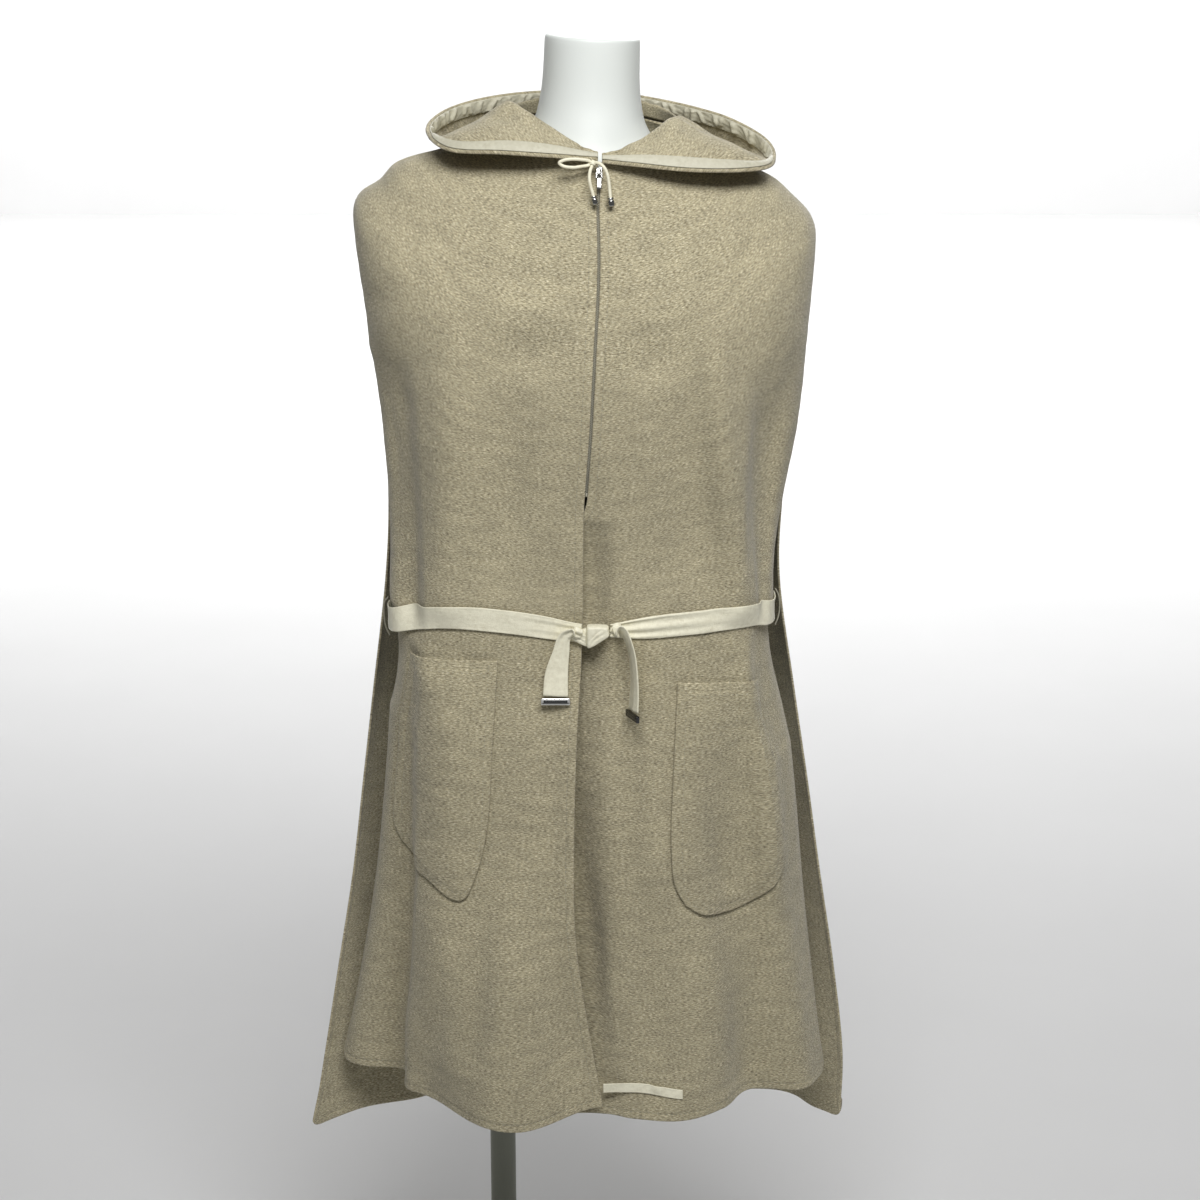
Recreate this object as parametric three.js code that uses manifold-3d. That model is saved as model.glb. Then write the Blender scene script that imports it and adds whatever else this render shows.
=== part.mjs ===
// A hooded wool poncho with a leather belt, worn on a limbless dress form that stands on a round foot.
// Millimetres, +Z up, the front of the garment towards -Y. Right and left are the wearer's, so right
// is at -X. The origin is the middle of the foot's underside.
import * as THREE from 'three';
import Module from 'manifold-3d';

const wasm = await Module();
wasm.setup();

// Cloth, leather and the gaps between pieces
const WOOL = 2.4;
const POCKET_WOOL = 2.0;
const LEATHER = 1.1;
const SEAM_GAP = 0.3;
const LIE_GAP = 0.7;
const KNOT_GAP = 2.2;
const BELT_GAP = 0.9;

// Neck and hood: the neckline drops by LEAN for each millimetre towards the wearer's left
const NECK = { x: 6, y: 25 };
const LEAN = 0.034;
const NECK_SKEW = 8;
const SHOULDER_ANGLE = 80;
const CLOSURE_ANGLE = 0.8;
const BINDING_WIDTH = 20;
const HOOD_FOOT = 1.68;

// Closure: the zip ends at ZIP_BOTTOM, below which the left front sinks under the right one
const ZIP_BOTTOM = 1033;
const ZIP_BOTTOM_ROW = 6.8;
const ZIP_HALF_GAP = 1.2;
const ZIP_TAPE_WIDTH = 16;
const UNDERLAP = 26;
const UNDERLAP_START = 70;
const SINK_START = 50;
const SINK_GAP = 1.4;
const SINK_WIDTH = 26;
const CORNER_LIFT = 14;
const HEM_CORNER = 9;
const CORNER_SHARE = { front: 0.06, back: 0.04 };

// Belt and trimmings
const BELT_WIDTH = 23;
const BELT_TIP = { right: 28, left: 26, depth: 3.4, height: 7 };
const BELT_LOOP_WIDTH = 1.2;
const HEM_TAB_HEIGHT = 10;
const CORD_WIDTH = 3.5;
const BOW_KNOT_RADIUS = 3.1;
const CORD_TIP = { radius: 2.6, right: 9, left: 8.5 };

// Stand
const FOOT_RADIUS = 200;
const FOOT_HEIGHT = 8;
const POLE = { x: -90, y: 0, radius: 13.5 };
const FLANGE = { radius: 38, height: 6 };
const FORM_SIDES = 32;

const { PI, sin, cos, abs, sqrt, max, min } = Math;
const degrees = angle => angle * PI / 180;
const mix = (a, b, k) => a + (b - a) * k;
const clamp = k => min(1, max(0, k));
const smooth = k => clamp(k) ** 2 * (3 - 2 * clamp(k));
const bump = k => abs(k) < 1 ? cos(k * PI / 2) ** 2 : 0;
const vec = (x, y, z) => new THREE.Vector3(x, y, z);

function table(columns, rows) {
  return rows.map((row, index) => {
    const named = Object.fromEntries(columns.map((name, i) => [name, row[i]]));
    return { index, ...named };
  });
}

// A smooth curve through one column of a table, read against another column that grows.
function read(rows, key, column, at) {
  let i = 0;
  while (i < rows.length - 2 && rows[i + 1][key] < at) i += 1;
  const slope = j => (rows[j + 1][column] - rows[j][column]) / (rows[j + 1][key] - rows[j][key]);
  const last = rows.length - 1;
  const tangent = j => (slope(max(0, j - 1)) + slope(min(last - 1, j))) / 2;
  const span = rows[i + 1][key] - rows[i][key];
  const k = clamp((at - rows[i][key]) / span);
  const [a, b] = [rows[i][column], rows[i + 1][column]];
  const [ta, tb] = [tangent(i) * span, tangent(i + 1) * span];
  return a + k * ta + k * k * (3 * (b - a) - 2 * ta - tb) + k ** 3 * (2 * (a - b) + ta + tb);
}

// The fronts, from the row under the neckline to the hem. Each row runs from the closure (mid) to the
// shoulder seam in the first four rows and to the free side edge below. full is the exponent of the
// superellipse that joins them: 2 is an ellipse, and more is squarer.
const FRONT = table(
  ['zMid', 'xMid', 'yMid', 'zRight', 'xRight', 'yRight', 'zLeft', 'xLeft', 'yLeft', 'full'],
  [
    [1300, 12, -89, 1342, -140, 8, 1330, 148, 8, 2.1],
    [1255, 13, -108, 1331, -179, 6, 1317, 178, 6, 2.2],
    [1218, 12, -120, 1314, -197, 5, 1301, 197, 5, 2.3],
    [1185, 10, -131, 1297, -219, 4, 1277, 218, 4, 2.4],
    [1145, 8, -137, 1262, -220, 0, 1245, 220, 0, 2.5],
    [1090, 5, -136, 1180, -210, -5, 1170, 214, -5, 2.6],
    [1020, 0, -131, 1090, -204, -12, 1085, 208, -12, 2.6],
    [960, -2, -129, 1000, -199, -20, 998, 198, -20, 2.6],
    [930, -2, -131, 930, -195, -33, 933, 188, -33, 2.7],
    [905, -3, -131, 897, -192, -41, 904, 183, -41, 2.8],
    [868, -4, -134, 860, -193, -38, 867, 188, -39, 2.7],
    [800, -8, -143, 795, -197, -31, 800, 200, -36, 2.4],
    [700, -11, -148, 697, -206, -25, 700, 212, -36, 2.15],
    [600, -10, -151, 600, -218, -17, 600, 222, -36, 1.95],
    [500, 1, -152, 498, -236, -10, 500, 234, -41, 1.75],
    [395, 17, -150, 395, -257, -9, 397, 247, -48, 1.6],
  ]);

// The back, seamed to the fronts along the shoulders in its first four rows and free below.
const BACK = table(
  ['zMid', 'yMid', 'zRight', 'xRight', 'yRight', 'zLeft', 'xLeft', 'yLeft', 'full'],
  [
    [1338, 93, 1342, -140, 8, 1330, 148, 8, 2.0],
    [1300, 110, 1331, -179, 6, 1317, 178, 6, 2.1],
    [1265, 118, 1314, -197, 5, 1301, 197, 5, 2.2],
    [1230, 124, 1297, -219, 4, 1277, 218, 4, 2.3],
    [1185, 128, 1262, -218, 7, 1245, 218, 7, 2.3],
    [1110, 129, 1180, -207, 11, 1170, 211, 11, 2.2],
    [1030, 130, 1090, -200, 12, 1085, 204, 12, 2.1],
    [960, 132, 1000, -197, 12, 998, 196, 12, 2.0],
    [900, 134, 915, -202, 11, 915, 195, 11, 1.9],
    [800, 138, 800, -217, 10, 800, 212, 10, 1.7],
    [700, 141, 700, -230, 6, 700, 228, 8, 1.55],
    [600, 144, 600, -243, 1, 600, 243, 5, 1.45],
    [500, 147, 500, -260, -5, 500, 259, 0, 1.35],
    [400, 149, 400, -277, -14, 400, 271, -8, 1.25],
    [318, 150, 318, -291, -25, 318, 271, -3, 1.2],
  ]);

// Folds of the panels. share is the place across the half panel, 0 at its middle and 1 at its side
// edge; depth is how far the cloth stands out (a ridge) or in (a trough), and wide is half the width.
const FOLD_COLUMNS = ['side', 'zTop', 'zBottom', 'shareTop', 'shareBottom', 'wideTop', 'wideBottom',
  'depthTop', 'depthBottom', 'fadeTop', 'fadeBottom'];
const FRONT_FOLDS = table(FOLD_COLUMNS, [
  [-1, 1200, 900, 0.60, 0.68, 0.24, 0.20, 3, 7, 90, 30],
  [-1, 1190, 880, 0.86, 0.89, 0.13, 0.12, -9, -14, 80, 40],
  [-1, 893, 395, 0.72, 0.52, 0.18, 0.22, 6, 8, 60, 60],
  [-1, 700, 395, 0.42, 0.34, 0.28, 0.35, 6, 42, 160, 0],
  [-1, 850, 395, 0.90, 0.86, 0.12, 0.14, -9, -34, 70, 0],
  [1, 1210, 893, 0.54, 0.82, 0.17, 0.15, 4, 9, 90, 30],
  [1, 1150, 893, 0.82, 0.95, 0.13, 0.05, -8, -5, 90, 30],
  [1, 880, 395, 0.84, 0.88, 0.11, 0.12, 7, 8, 50, 0],
  [1, 820, 395, 0.66, 0.70, 0.16, 0.18, -4, -20, 70, 0],
  [1, 800, 395, 0.38, 0.34, 0.28, 0.30, 4, 19, 120, 0],
  [1, 900, 560, 0.16, 0.20, 0.16, 0.20, -9, -5, 60, 120],
]);
const BACK_FOLDS = table(FOLD_COLUMNS, [
  [-1, 1150, 318, 0.50, 0.36, 0.22, 0.20, 4, 24, 200, 0],
  [-1, 1000, 318, 0.70, 0.66, 0.18, 0.20, -4, -16, 200, 0],
  [1, 1120, 318, 0.42, 0.30, 0.22, 0.18, 4, 18, 200, 0],
  [1, 1050, 318, 0.64, 0.56, 0.18, 0.18, -4, -14, 200, 0],
  [1, 900, 318, 0.84, 0.78, 0.14, 0.14, 3, 12, 200, 0],
  [-1, 980, 318, 0.06, 0.04, 0.16, 0.18, -3, -14, 200, 0],
]);

// The hood lies open round the neck. Each row is a section at an angle from the front, with radius
// and height at the neck seam, the crest by the neck, the bag's inner and outer lows, and the edge.
const HOOD_COLUMNS = ['angle', 'seamR', 'seamZ', 'crestR', 'crestZ', 'floorR', 'floorZ',
  'bellyR', 'bellyZ', 'edgeR', 'edgeZ'];
const HOOD = {
  right: table(HOOD_COLUMNS, [
    [3, 99, 1341, 100, 1350, 103, 1349, 106, 1347, 109, 1343],
    [20, 98, 1342, 91, 1361, 100, 1358, 110, 1353, 119, 1345],
    [40, 96, 1345, 85, 1375, 103, 1368, 122, 1359, 139, 1346],
    [56, 95, 1348, 84, 1384, 111, 1373, 136, 1362, 161, 1345],
    [66, 95, 1351, 86, 1387, 114, 1371, 142, 1359, 164, 1350],
    [78, 95, 1353, 84, 1381, 114, 1358, 150, 1348, 159, 1358],
    [95, 92, 1357, 80, 1376, 112, 1355, 148, 1346, 150, 1366],
    [112, 84, 1362, 79, 1378, 106, 1356, 143, 1336, 141, 1373],
    [125, 78, 1364, 77, 1380, 106, 1344, 142, 1322, 131, 1378],
    [140, 70, 1367, 72, 1382, 108, 1312, 141, 1306, 121, 1382],
    [162, 62, 1370, 66, 1384, 107, 1290, 142, 1298, 112, 1385],
    [180, 60, 1371, 65, 1385, 106, 1284, 143, 1294, 111, 1386],
  ]),
  left: table(HOOD_COLUMNS, [
    [3, 99, 1341, 100, 1349, 103, 1347, 106, 1345, 109, 1341],
    [20, 98, 1342, 91, 1357, 101, 1354, 110, 1348, 119, 1339],
    [40, 96, 1345, 86, 1369, 107, 1361, 126, 1351, 142, 1336],
    [56, 95, 1348, 85, 1377, 117, 1366, 146, 1354, 168, 1336],
    [66, 95, 1351, 88, 1379, 121, 1365, 156, 1352, 181, 1338],
    [78, 95, 1353, 86, 1375, 120, 1357, 164, 1341, 178, 1345],
    [95, 92, 1357, 81, 1374, 114, 1354, 160, 1339, 166, 1357],
    [112, 84, 1362, 79, 1377, 106, 1355, 148, 1334, 143, 1370],
    [125, 78, 1364, 77, 1380, 106, 1344, 143, 1322, 131, 1375],
    [140, 70, 1367, 72, 1382, 108, 1312, 141, 1306, 123, 1379],
    [162, 62, 1370, 66, 1384, 107, 1290, 142, 1298, 113, 1384],
    [180, 60, 1371, 65, 1385, 106, 1284, 143, 1294, 111, 1386],
  ]),
};
const HOOD_POINTS = ['seam', 'crest', 'floor', 'belly', 'edge'];

// The dress form, from its flat underside to the top of its neck. lean tips a row down to the left.
const FORM = table(
  ['z', 'x', 'half', 'front', 'back', 'full', 'lean'],
  [
    [700, 0, 158, -100, 100, 2.3, 0],
    [790, 0, 166, -106, 106, 2.3, 0],
    [893, 0, 140, -90, 88, 2.2, 0],
    [1000, 0, 148, -98, 94, 2.2, 0.010],
    [1090, 0, 160, -114, 104, 2.2, 0.020],
    [1150, 0, 168, -122, 110, 2.3, 0.030],
    [1210, 0, 176, -106, 112, 2.4, 0.034],
    [1265, 0, 182, -86, 102, 2.4, 0.034],
    [1299.4, 0, 180, -71, 84, 2.3, 0.034],
    [1314.5, 0, 168, -65, 74, 2.0, 0.034],
    [1328.5, 1, 130, -63, 66, 1.8, 0.034],
    [1341.5, 2, 90, -61, 58, 1.8, 0.034],
    [1351, 3, 68, -58, 54, 1.9, 0.036],
    [1366, 4, 55, -54, 52, 2.0, 0.040],
    [1390, 5, 48, -49, 51, 2.0, 0.046],
    [1449, 7, 44.6, -46, 48, 2.0, 0.050],
  ]);

// Front paths of the belt's middle line, from the knot to the side edge.
const BELT_PATH = {
  right: table(['x', 'z'], [[0, 902], [-16, 904], [-38, 908], [-62, 911.5], [-91, 914], [-129, 915],
    [-149, 912], [-165, 906], [-185, 899], [-198, 893]]),
  left: table(['x', 'z'], [[23, 902], [41, 904.5], [62, 907], [90, 909], [114, 910], [143, 912],
    [153, 912], [164, 910.5], [173, 907], [189, 903]]),
};
// The belt behind the fronts: round the sides and the small of the form's back.
const BELT_BACK = [[-196, -37.8, 894], [-178, 20, 892], [-146, 62, 890], [-90, 88, 891], [-30, 93.5, 892],
  [30, 93.5, 893], [90, 88, 894], [144, 62, 897], [172, 20, 900], [187.6, -37.9, 903]];
// The tied ends: middle line, half width across X, and twist from facing front, in degrees.
const TAIL_COLUMNS = ['x', 'z', 'out', 'half', 'twist'];
const BELT_TAILS = {
  right: table(TAIL_COLUMNS, [
    [-2.8, 904, 9, 4.5, 10], [-12, 906, 11, 6, 12], [-20, 900, 10, 6.5, 10], [-23, 886, 9, 8, 4],
    [-27.4, 864, 8, 11, 0], [-28.5, 843, 8, 12, 0]]),
  left: table(TAIL_COLUMNS, [
    [26.5, 905.5, 8, 4.5, -20], [33, 908, 11, 9, -40], [39, 900, 13, 10, -62], [44, 882, 13, 11, -70],
    [46, 855, 14, 11.5, -70], [45, 829, 14.5, 11.5, -66]]),
};

// The belt's knot: rings from its back to its front, out from the cloth.
const KNOT = { x: 12, z: 902.5, square: 3.4, sides: 20, sag: 0.18 };
const KNOT_RINGS = table(['out', 'half', 'tall'],
  [[1.2, 9.5, 8.5], [2.6, 11.2, 10.2], [8, 11.4, 10.8], [12, 9.6, 9.6], [13.5, 7.2, 7.2]]);
// Thread loops that carry the belt at the side edges.
const BELT_LOOPS = {
  right: [[-194.4, -44, 912], [-198.5, -42, 906], [-199.6, -40, 893], [-198, -40, 880], [-193.8, -43, 872]],
  left: [[186.5, -42, 920], [189.5, -42, 914], [191.3, -40, 903], [190.3, -40, 891], [187, -43, 883]],
};

// The zip's slider and pull, as boxes round the slider's middle; the pull turns about its crossbar.
const ZIP_SEAT = { x: 13.2, y: -79.2, z: 1331, tilt: 20 };
const BOX_COLUMNS = ['width', 'depth', 'height', 'x', 'y', 'z'];
const SLIDER_BOXES = table(BOX_COLUMNS, [
  [6.4, 2.2, 10, 0, -1.9, 0],
  [1.4, 3.4, 8, 0, 0.4, 0],
  [2.4, 2.6, 1.4, 0, -4.2, 3.6],
  [2.4, 2.6, 1.4, 0, -4.2, -2.6],
  [2.4, 1.2, 7.6, 0, -5.9, 0.5],
]);
const PULL_BOXES = table(BOX_COLUMNS, [
  [5.8, 1.1, 1.2, 0, -4.15, -0.9],
  [1.3, 1.1, 6.6, -2.5, -4.15, -3.6],
  [1.3, 1.1, 6.6, 2.5, -4.15, -3.6],
  [4.4, 1.1, 10.5, 0, -4.15, -11],
]);

// Drawstring routes: x, y, z by hand, from the knot outwards.
const BOW_KNOT = [7, -86.3, 1340.8];
const CORD_ROUTES = {
  drawstring_loop: [
    [3.8, -86.9, 1342.8], [-3, -90, 1344.3], [-12, -91.8, 1344.9], [-20, -92.2, 1343.7], [-23.5, -92, 1341.5],
    [-20, -92, 1338.7], [-11, -91.6, 1337.3], [-3, -90, 1338], [3.8, -86.9, 1338.9]],
  drawstring_end_right: [
    [6.4, -87.7, 1337.8], [5, -90.2, 1334.2], [4.2, -92, 1327.7],
    [5.2, -93, 1321.2], [6.8, -93.2, 1315.7], [7.9, -93.6, 1311.7]],
  drawstring_end_left: [
    [10.5, -86.7, 1341.1], [15, -90, 1339.8], [18.6, -92.2, 1336.2], [21, -93.2, 1330.2],
    [22.2, -93.4, 1323.2], [23, -93.6, 1316.2], [23.6, -94, 1310.2]],
};

// Outlines of the patch pockets in x and z: the lower corners are rounded off between the low points.
const POCKETS = {
  right: { innerTop: [-83.5, 874.5], outerTop: [-171, 871], outerLow: [-193, 690], outerCorner: [-194, 626],
    bottom: [-145, 627], innerCorner: [-108, 625], innerLow: [-98, 690] },
  left: { innerTop: [88, 852], outerTop: [170, 846], outerLow: [193, 680], outerCorner: [203, 618],
    bottom: [140, 606], innerCorner: [84, 607], innerLow: [83, 680] },
};

const HEM_TAB = table(['x', 'z'], [[17, 428.5], [40, 429.5], [62, 429], [97, 424.5]]);

const COLOURS = {
  wool: { color: 0xa89c82, roughness: 0.95 },
  leather: { color: 0xdcd6bd, roughness: 0.5 },
  metal: { color: 0xb9b9b6, roughness: 0.25, metalness: 1 },
  tape: { color: 0x6f6654, roughness: 0.9 },
  form: { color: 0xe6eae8, roughness: 0.6 },
  steel: { color: 0x77796c, roughness: 0.4, metalness: 0.8 },
};

const poncho = new THREE.Group();

function add(name, geometry, look, parent = poncho) {
  const mesh = new THREE.Mesh(geometry, new THREE.MeshStandardMaterial(COLOURS[look]));
  mesh.name = name;
  parent.add(mesh);
  return mesh;
}

// A closed body from points and triangles, turned so that its faces point out.
function closed(points, triangles) {
  let volume = 0;
  for (const [a, b, c] of triangles) {
    volume += points[a].dot(vec().crossVectors(points[b], points[c]));
  }
  const faces = volume < 0 ? triangles.map(([a, b, c]) => [a, c, b]) : triangles;
  const geometry = new THREE.BufferGeometry();
  geometry.setAttribute('position', new THREE.Float32BufferAttribute(points.flatMap(p => p.toArray()), 3));
  geometry.setIndex(faces.flat());
  geometry.computeVertexNormals();
  return geometry;
}

// A wall between two grids of points of the same size.
function wall(outer, inner) {
  const [rows, columns] = [outer.length, outer[0].length];
  const points = [...outer.flat(), ...inner.flat()];
  const back = rows * columns;
  const at = (i, j) => i * columns + j;
  const triangles = [];
  const quad = (a, b, c, d) => triangles.push([a, b, c], [a, c, d]);
  for (let i = 0; i < rows - 1; i += 1) {
    for (let j = 0; j < columns - 1; j += 1) {
      const face = [at(i, j), at(i, j + 1), at(i + 1, j + 1), at(i + 1, j)];
      quad(...face);
      const [a, b, c, d] = face.map(k => k + back);
      triangles.push([a, c, b], [a, d, c]);
    }
  }
  const rim = [
    ...Array.from({ length: columns - 1 }, (_, j) => [at(0, j + 1), at(0, j)]),
    ...Array.from({ length: columns - 1 }, (_, j) => [at(rows - 1, j), at(rows - 1, j + 1)]),
    ...Array.from({ length: rows - 1 }, (_, i) => [at(i, 0), at(i + 1, 0)]),
    ...Array.from({ length: rows - 1 }, (_, i) => [at(i + 1, columns - 1), at(i, columns - 1)]),
  ];
  for (const [a, b] of rim) quad(a, b, b + back, a + back);
  return closed(points, triangles);
}

// A body through closed rings of the same size, capped at both ends.
function loft(rings) {
  const sides = rings[0].length;
  const points = rings.flat();
  const triangles = [];
  for (let i = 0; i < rings.length - 1; i += 1) {
    for (let j = 0; j < sides; j += 1) {
      const [a, b] = [i * sides + j, i * sides + (j + 1) % sides];
      triangles.push([a, b, b + sides], [a, b + sides, a + sides]);
    }
  }
  for (const [ring, turn] of [[0, -1], [rings.length - 1, 1]]) {
    const middle = points.length;
    points.push(rings[ring].reduce((sum, p) => sum.add(p), vec(0, 0, 0)).divideScalar(sides));
    for (let j = 0; j < sides; j += 1) {
      const edge = [ring * sides + j, ring * sides + (j + 1) % sides];
      triangles.push([middle, ...(turn > 0 ? edge : edge.reverse())]);
    }
  }
  return closed(points, triangles);
}

function solidOf(source) {
  const geometry = source.index ? source.toNonIndexed() : source;
  const corner = geometry.getAttribute('position');
  const points = [];
  const seen = new Map();
  const triVerts = [];
  for (let i = 0; i < corner.count; i += 1) {
    const p = [corner.getX(i), corner.getY(i), corner.getZ(i)];
    const key = p.map(value => value.toFixed(4)).join();
    if (!seen.has(key)) {
      seen.set(key, points.length / 3);
      points.push(...p);
    }
    triVerts.push(seen.get(key));
  }
  const vertProperties = new Float32Array(points);
  const mesh = new wasm.Mesh({ numProp: 3, vertProperties, triVerts: new Uint32Array(triVerts) });
  return new wasm.Manifold(mesh);
}

function geometryOf(solid) {
  const mesh = solid.getMesh();
  const geometry = new THREE.BufferGeometry();
  geometry.setAttribute('position', new THREE.Float32BufferAttribute(mesh.vertProperties, 3));
  geometry.setIndex(Array.from(mesh.triVerts));
  geometry.computeVertexNormals();
  return geometry;
}

// One body out of the boxes of a table.
function boxes(rows) {
  const solids = rows.map(({ width, depth, height, x, y, z }) =>
    solidOf(new THREE.BoxGeometry(width, depth, height).translate(x, y, z)));
  return geometryOf(solids.reduce((sum, solid) => sum.add(solid)));
}

// The quarter superellipse between a middle and an edge: how far across, and how much depth is left.
function quarter(u, full) {
  const [a, b] = [sin(u * PI / 2), cos(u * PI / 2)];
  const size = (a ** full + b ** full) ** (1 / full);
  return [a / size, b / size];
}

// How far the folds of a panel move its cloth out at a place.
function foldDepth(folds, side, share, z) {
  let depth = 0;
  for (const fold of folds) {
    if (fold.side !== side || z > fold.zTop + 1 || z < fold.zBottom - 40) continue;
    const down = clamp((fold.zTop - z) / (fold.zTop - fold.zBottom));
    const fadeTop = smooth((fold.zTop - z) / fold.fadeTop);
    const fadeBottom = fold.fadeBottom ? smooth((z - fold.zBottom) / fold.fadeBottom) : 1;
    const off = share - mix(fold.shareTop, fold.shareBottom, down);
    const wide = mix(fold.wideTop, fold.wideBottom, down);
    depth += mix(fold.depthTop, fold.depthBottom, down) * fadeTop * fadeBottom * bump(off / wide);
  }
  return depth;
}

// A point on the neckline or the hood, from the neck's middle, at an angle from the front.
function round(side, angle, radius, height) {
  const skew = NECK_SKEW * max(0, cos(degrees(angle))) ** 2;
  const x = NECK.x + skew + side * radius * sin(degrees(angle));
  return vec(x, NECK.y - radius * cos(degrees(angle)), height + LEAN * (NECK.x - x));
}

function neckline(side, angle) {
  const rows = side < 0 ? HOOD.right : HOOD.left;
  return round(side, angle, read(rows, 'angle', 'seamR', angle), read(rows, 'angle', 'seamZ', angle));
}

// How far a front's inner edge lies from the line of the closure: the left front reaches under the right.
function closure(side, z) {
  if (z > ZIP_BOTTOM) return side * ZIP_HALF_GAP;
  const open = smooth((ZIP_BOTTOM - z) / UNDERLAP_START);
  return side < 0 ? side * ZIP_HALF_GAP * (1 - open) : mix(ZIP_HALF_GAP, -UNDERLAP, open);
}

// The outer face of a front: v is 0 at the neckline, 1 in the first row of the table and so on.
function frontFace(side, u, v) {
  const name = side < 0 ? 'Right' : 'Left';
  const row = column => read(FRONT, 'index', column, max(0, v - 1));
  const [across, left] = quarter(u, row('full'));
  const zMid = row('zMid');
  const start = row('xMid') + closure(side, zMid);
  const z = mix(zMid, row(`z${name}`), across ** 2);
  const p = vec(mix(start, row(`x${name}`), across), mix(row(`y${name}`), row('yMid'), left), z);
  const share = (p.x - row('xMid')) / (row(`x${name}`) - row('xMid'));
  const depth = foldDepth(FRONT_FOLDS, side, share, z);
  const half = abs(row(`x${name}`) - row('xMid'));
  const deep = row(`y${name}`) - row('yMid');
  const normal = vec(side * across / half, -left / deep, 0).normalize();
  p.addScaledVector(normal, depth);
  if (side > 0) {
    const sunk = smooth((ZIP_BOTTOM + SINK_START - z) / SINK_START);
    p.y += sunk * (WOOL + SINK_GAP) * (1 - smooth((p.x - row('xMid')) / SINK_WIDTH - 0.1));
  }
  const low = smooth((v - FRONT.length + 2.2) / 2.2);
  if (side < 0) p.z += CORNER_LIFT * low * (1 - smooth(share / 0.3));
  const last = smooth((v - FRONT.length + 0.6) / 0.6);
  p.z += last * HEM_CORNER * (1 - sqrt(1 - clamp((u - 1) / CORNER_SHARE.front + 1) ** 2));
  if (v >= 1) return p;
  return neckline(side, mix(CLOSURE_ANGLE, SHOULDER_ANGLE, u)).lerp(p, v);
}

// The outer face of the back: u is 0 in the middle and 1 at the shoulder seam or side edge.
function backFace(side, u, v) {
  const name = side < 0 ? 'Right' : 'Left';
  const row = column => read(BACK, 'index', column, max(0, v - 1));
  const [across, left] = quarter(u, row('full'));
  const z = mix(row('zMid'), row(`z${name}`), across ** 2);
  const p = vec(row(`x${name}`) * across, mix(row(`y${name}`), row('yMid'), left), z);
  const deep = row('yMid') - row(`y${name}`);
  const normal = vec(side * across / abs(row(`x${name}`)), left / deep, 0).normalize();
  p.addScaledVector(normal, foldDepth(BACK_FOLDS, side, across, z));
  const last = smooth((v - BACK.length + 0.6) / 0.6);
  p.z += last * HEM_CORNER * (1 - sqrt(1 - clamp((u - 1) / CORNER_SHARE.back + 1) ** 2));
  if (v >= 1) return p;
  return neckline(side, 180 - u * (180 - SHOULDER_ANGLE)).lerp(p, v);
}

// The directions out of a grid of points, from the faces round each. outward says which way is out at
// the grid's middle.
function gridNormals(grid, outward) {
  const [rows, columns] = [grid.length, grid[0].length];
  const normals = grid.map(row => row.map(() => vec(0, 0, 0)));
  for (let i = 0; i < rows - 1; i += 1) {
    for (let j = 0; j < columns - 1; j += 1) {
      const [a, b] = [grid[i + 1][j + 1].clone().sub(grid[i][j]), grid[i + 1][j].clone().sub(grid[i][j + 1])];
      const normal = a.cross(b).normalize();
      for (const [k, l] of [[i, j], [i, j + 1], [i + 1, j], [i + 1, j + 1]]) normals[k][l].add(normal);
    }
  }
  const middle = normals[rows >> 1][columns >> 1];
  const sign = Math.sign(middle.dot(outward));
  return normals.map(row => row.map(normal => normal.normalize().multiplyScalar(sign)));
}

// Along the shoulder seam both panels share one edge direction, square to the seam.
function seamNormal(face, v) {
  const down = face(1, v + 0.05).sub(face(1, max(0, v - 0.05)));
  const normal = vec(-down.z, 0, down.x);
  return (normal.z < 0 ? normal.negate() : normal).normalize();
}

const SEAM_ROWS = 4;

// A wool panel's outer points and their outward directions.
function panelGrid(face, uValues, vValues, seamSide, outward) {
  const outer = vValues.map(v => uValues.map(u => face(abs(u), v, Math.sign(u))));
  const normals = gridNormals(outer, outward);
  vValues.forEach((v, i) => uValues.forEach((u, j) => {
    if (v > SEAM_ROWS) return;
    const near = smooth((abs(u) - 0.8) / 0.2);
    normals[i][j].lerp(seamNormal((a, b) => face(a, b, u), v), near).normalize();
    outer[i][j].y += seamSide * SEAM_GAP * near;
  }));
  return { outer, normals };
}

const moved = ({ outer, normals }, by) =>
  outer.map((row, i) => row.map((p, j) => p.clone().addScaledVector(normals[i][j], by)));
const steps = (from, to, count) => Array.from({ length: count + 1 }, (_, i) => mix(from, to, i / count));
const panels = {};

function front(word, side) {
  const u = [...steps(0, 0.5, 9), ...steps(0.55, 1, 9)];
  const v = [...steps(0, 4, 5), ...steps(5, 10, 5), ...steps(11, FRONT.length, 8)];
  panels[word] = panelGrid((a, b) => frontFace(side, a, b), u, v, -1, vec(0, -1, 0));
  add(`front_${word}`, wall(panels[word].outer, moved(panels[word], -WOOL)), 'wool');
}

function back() {
  const u = steps(-1, 1, 24);
  const v = [...steps(0, 4, 5), ...steps(5.5, 10, 3), ...steps(11, BACK.length, 5)];
  const face = (a, b, signed) => backFace(signed < 0 ? -1 : 1, a, b);
  const grid = panelGrid(face, u, v, 1, vec(0, 1, 0));
  add('back', wall(grid.outer, moved(grid, -WOOL)), 'wool');
}

// A hood section: the visible inner face, as points of radius and height.
function hoodSection(side, angle) {
  const rows = side < 0 ? HOOD.right : HOOD.left;
  const points = HOOD_POINTS.map(name =>
    vec(read(rows, 'angle', `${name}R`, angle), read(rows, 'angle', `${name}Z`, angle), 0));
  return new THREE.CatmullRomCurve3(points, false, 'catmullrom', 0.5);
}

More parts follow.
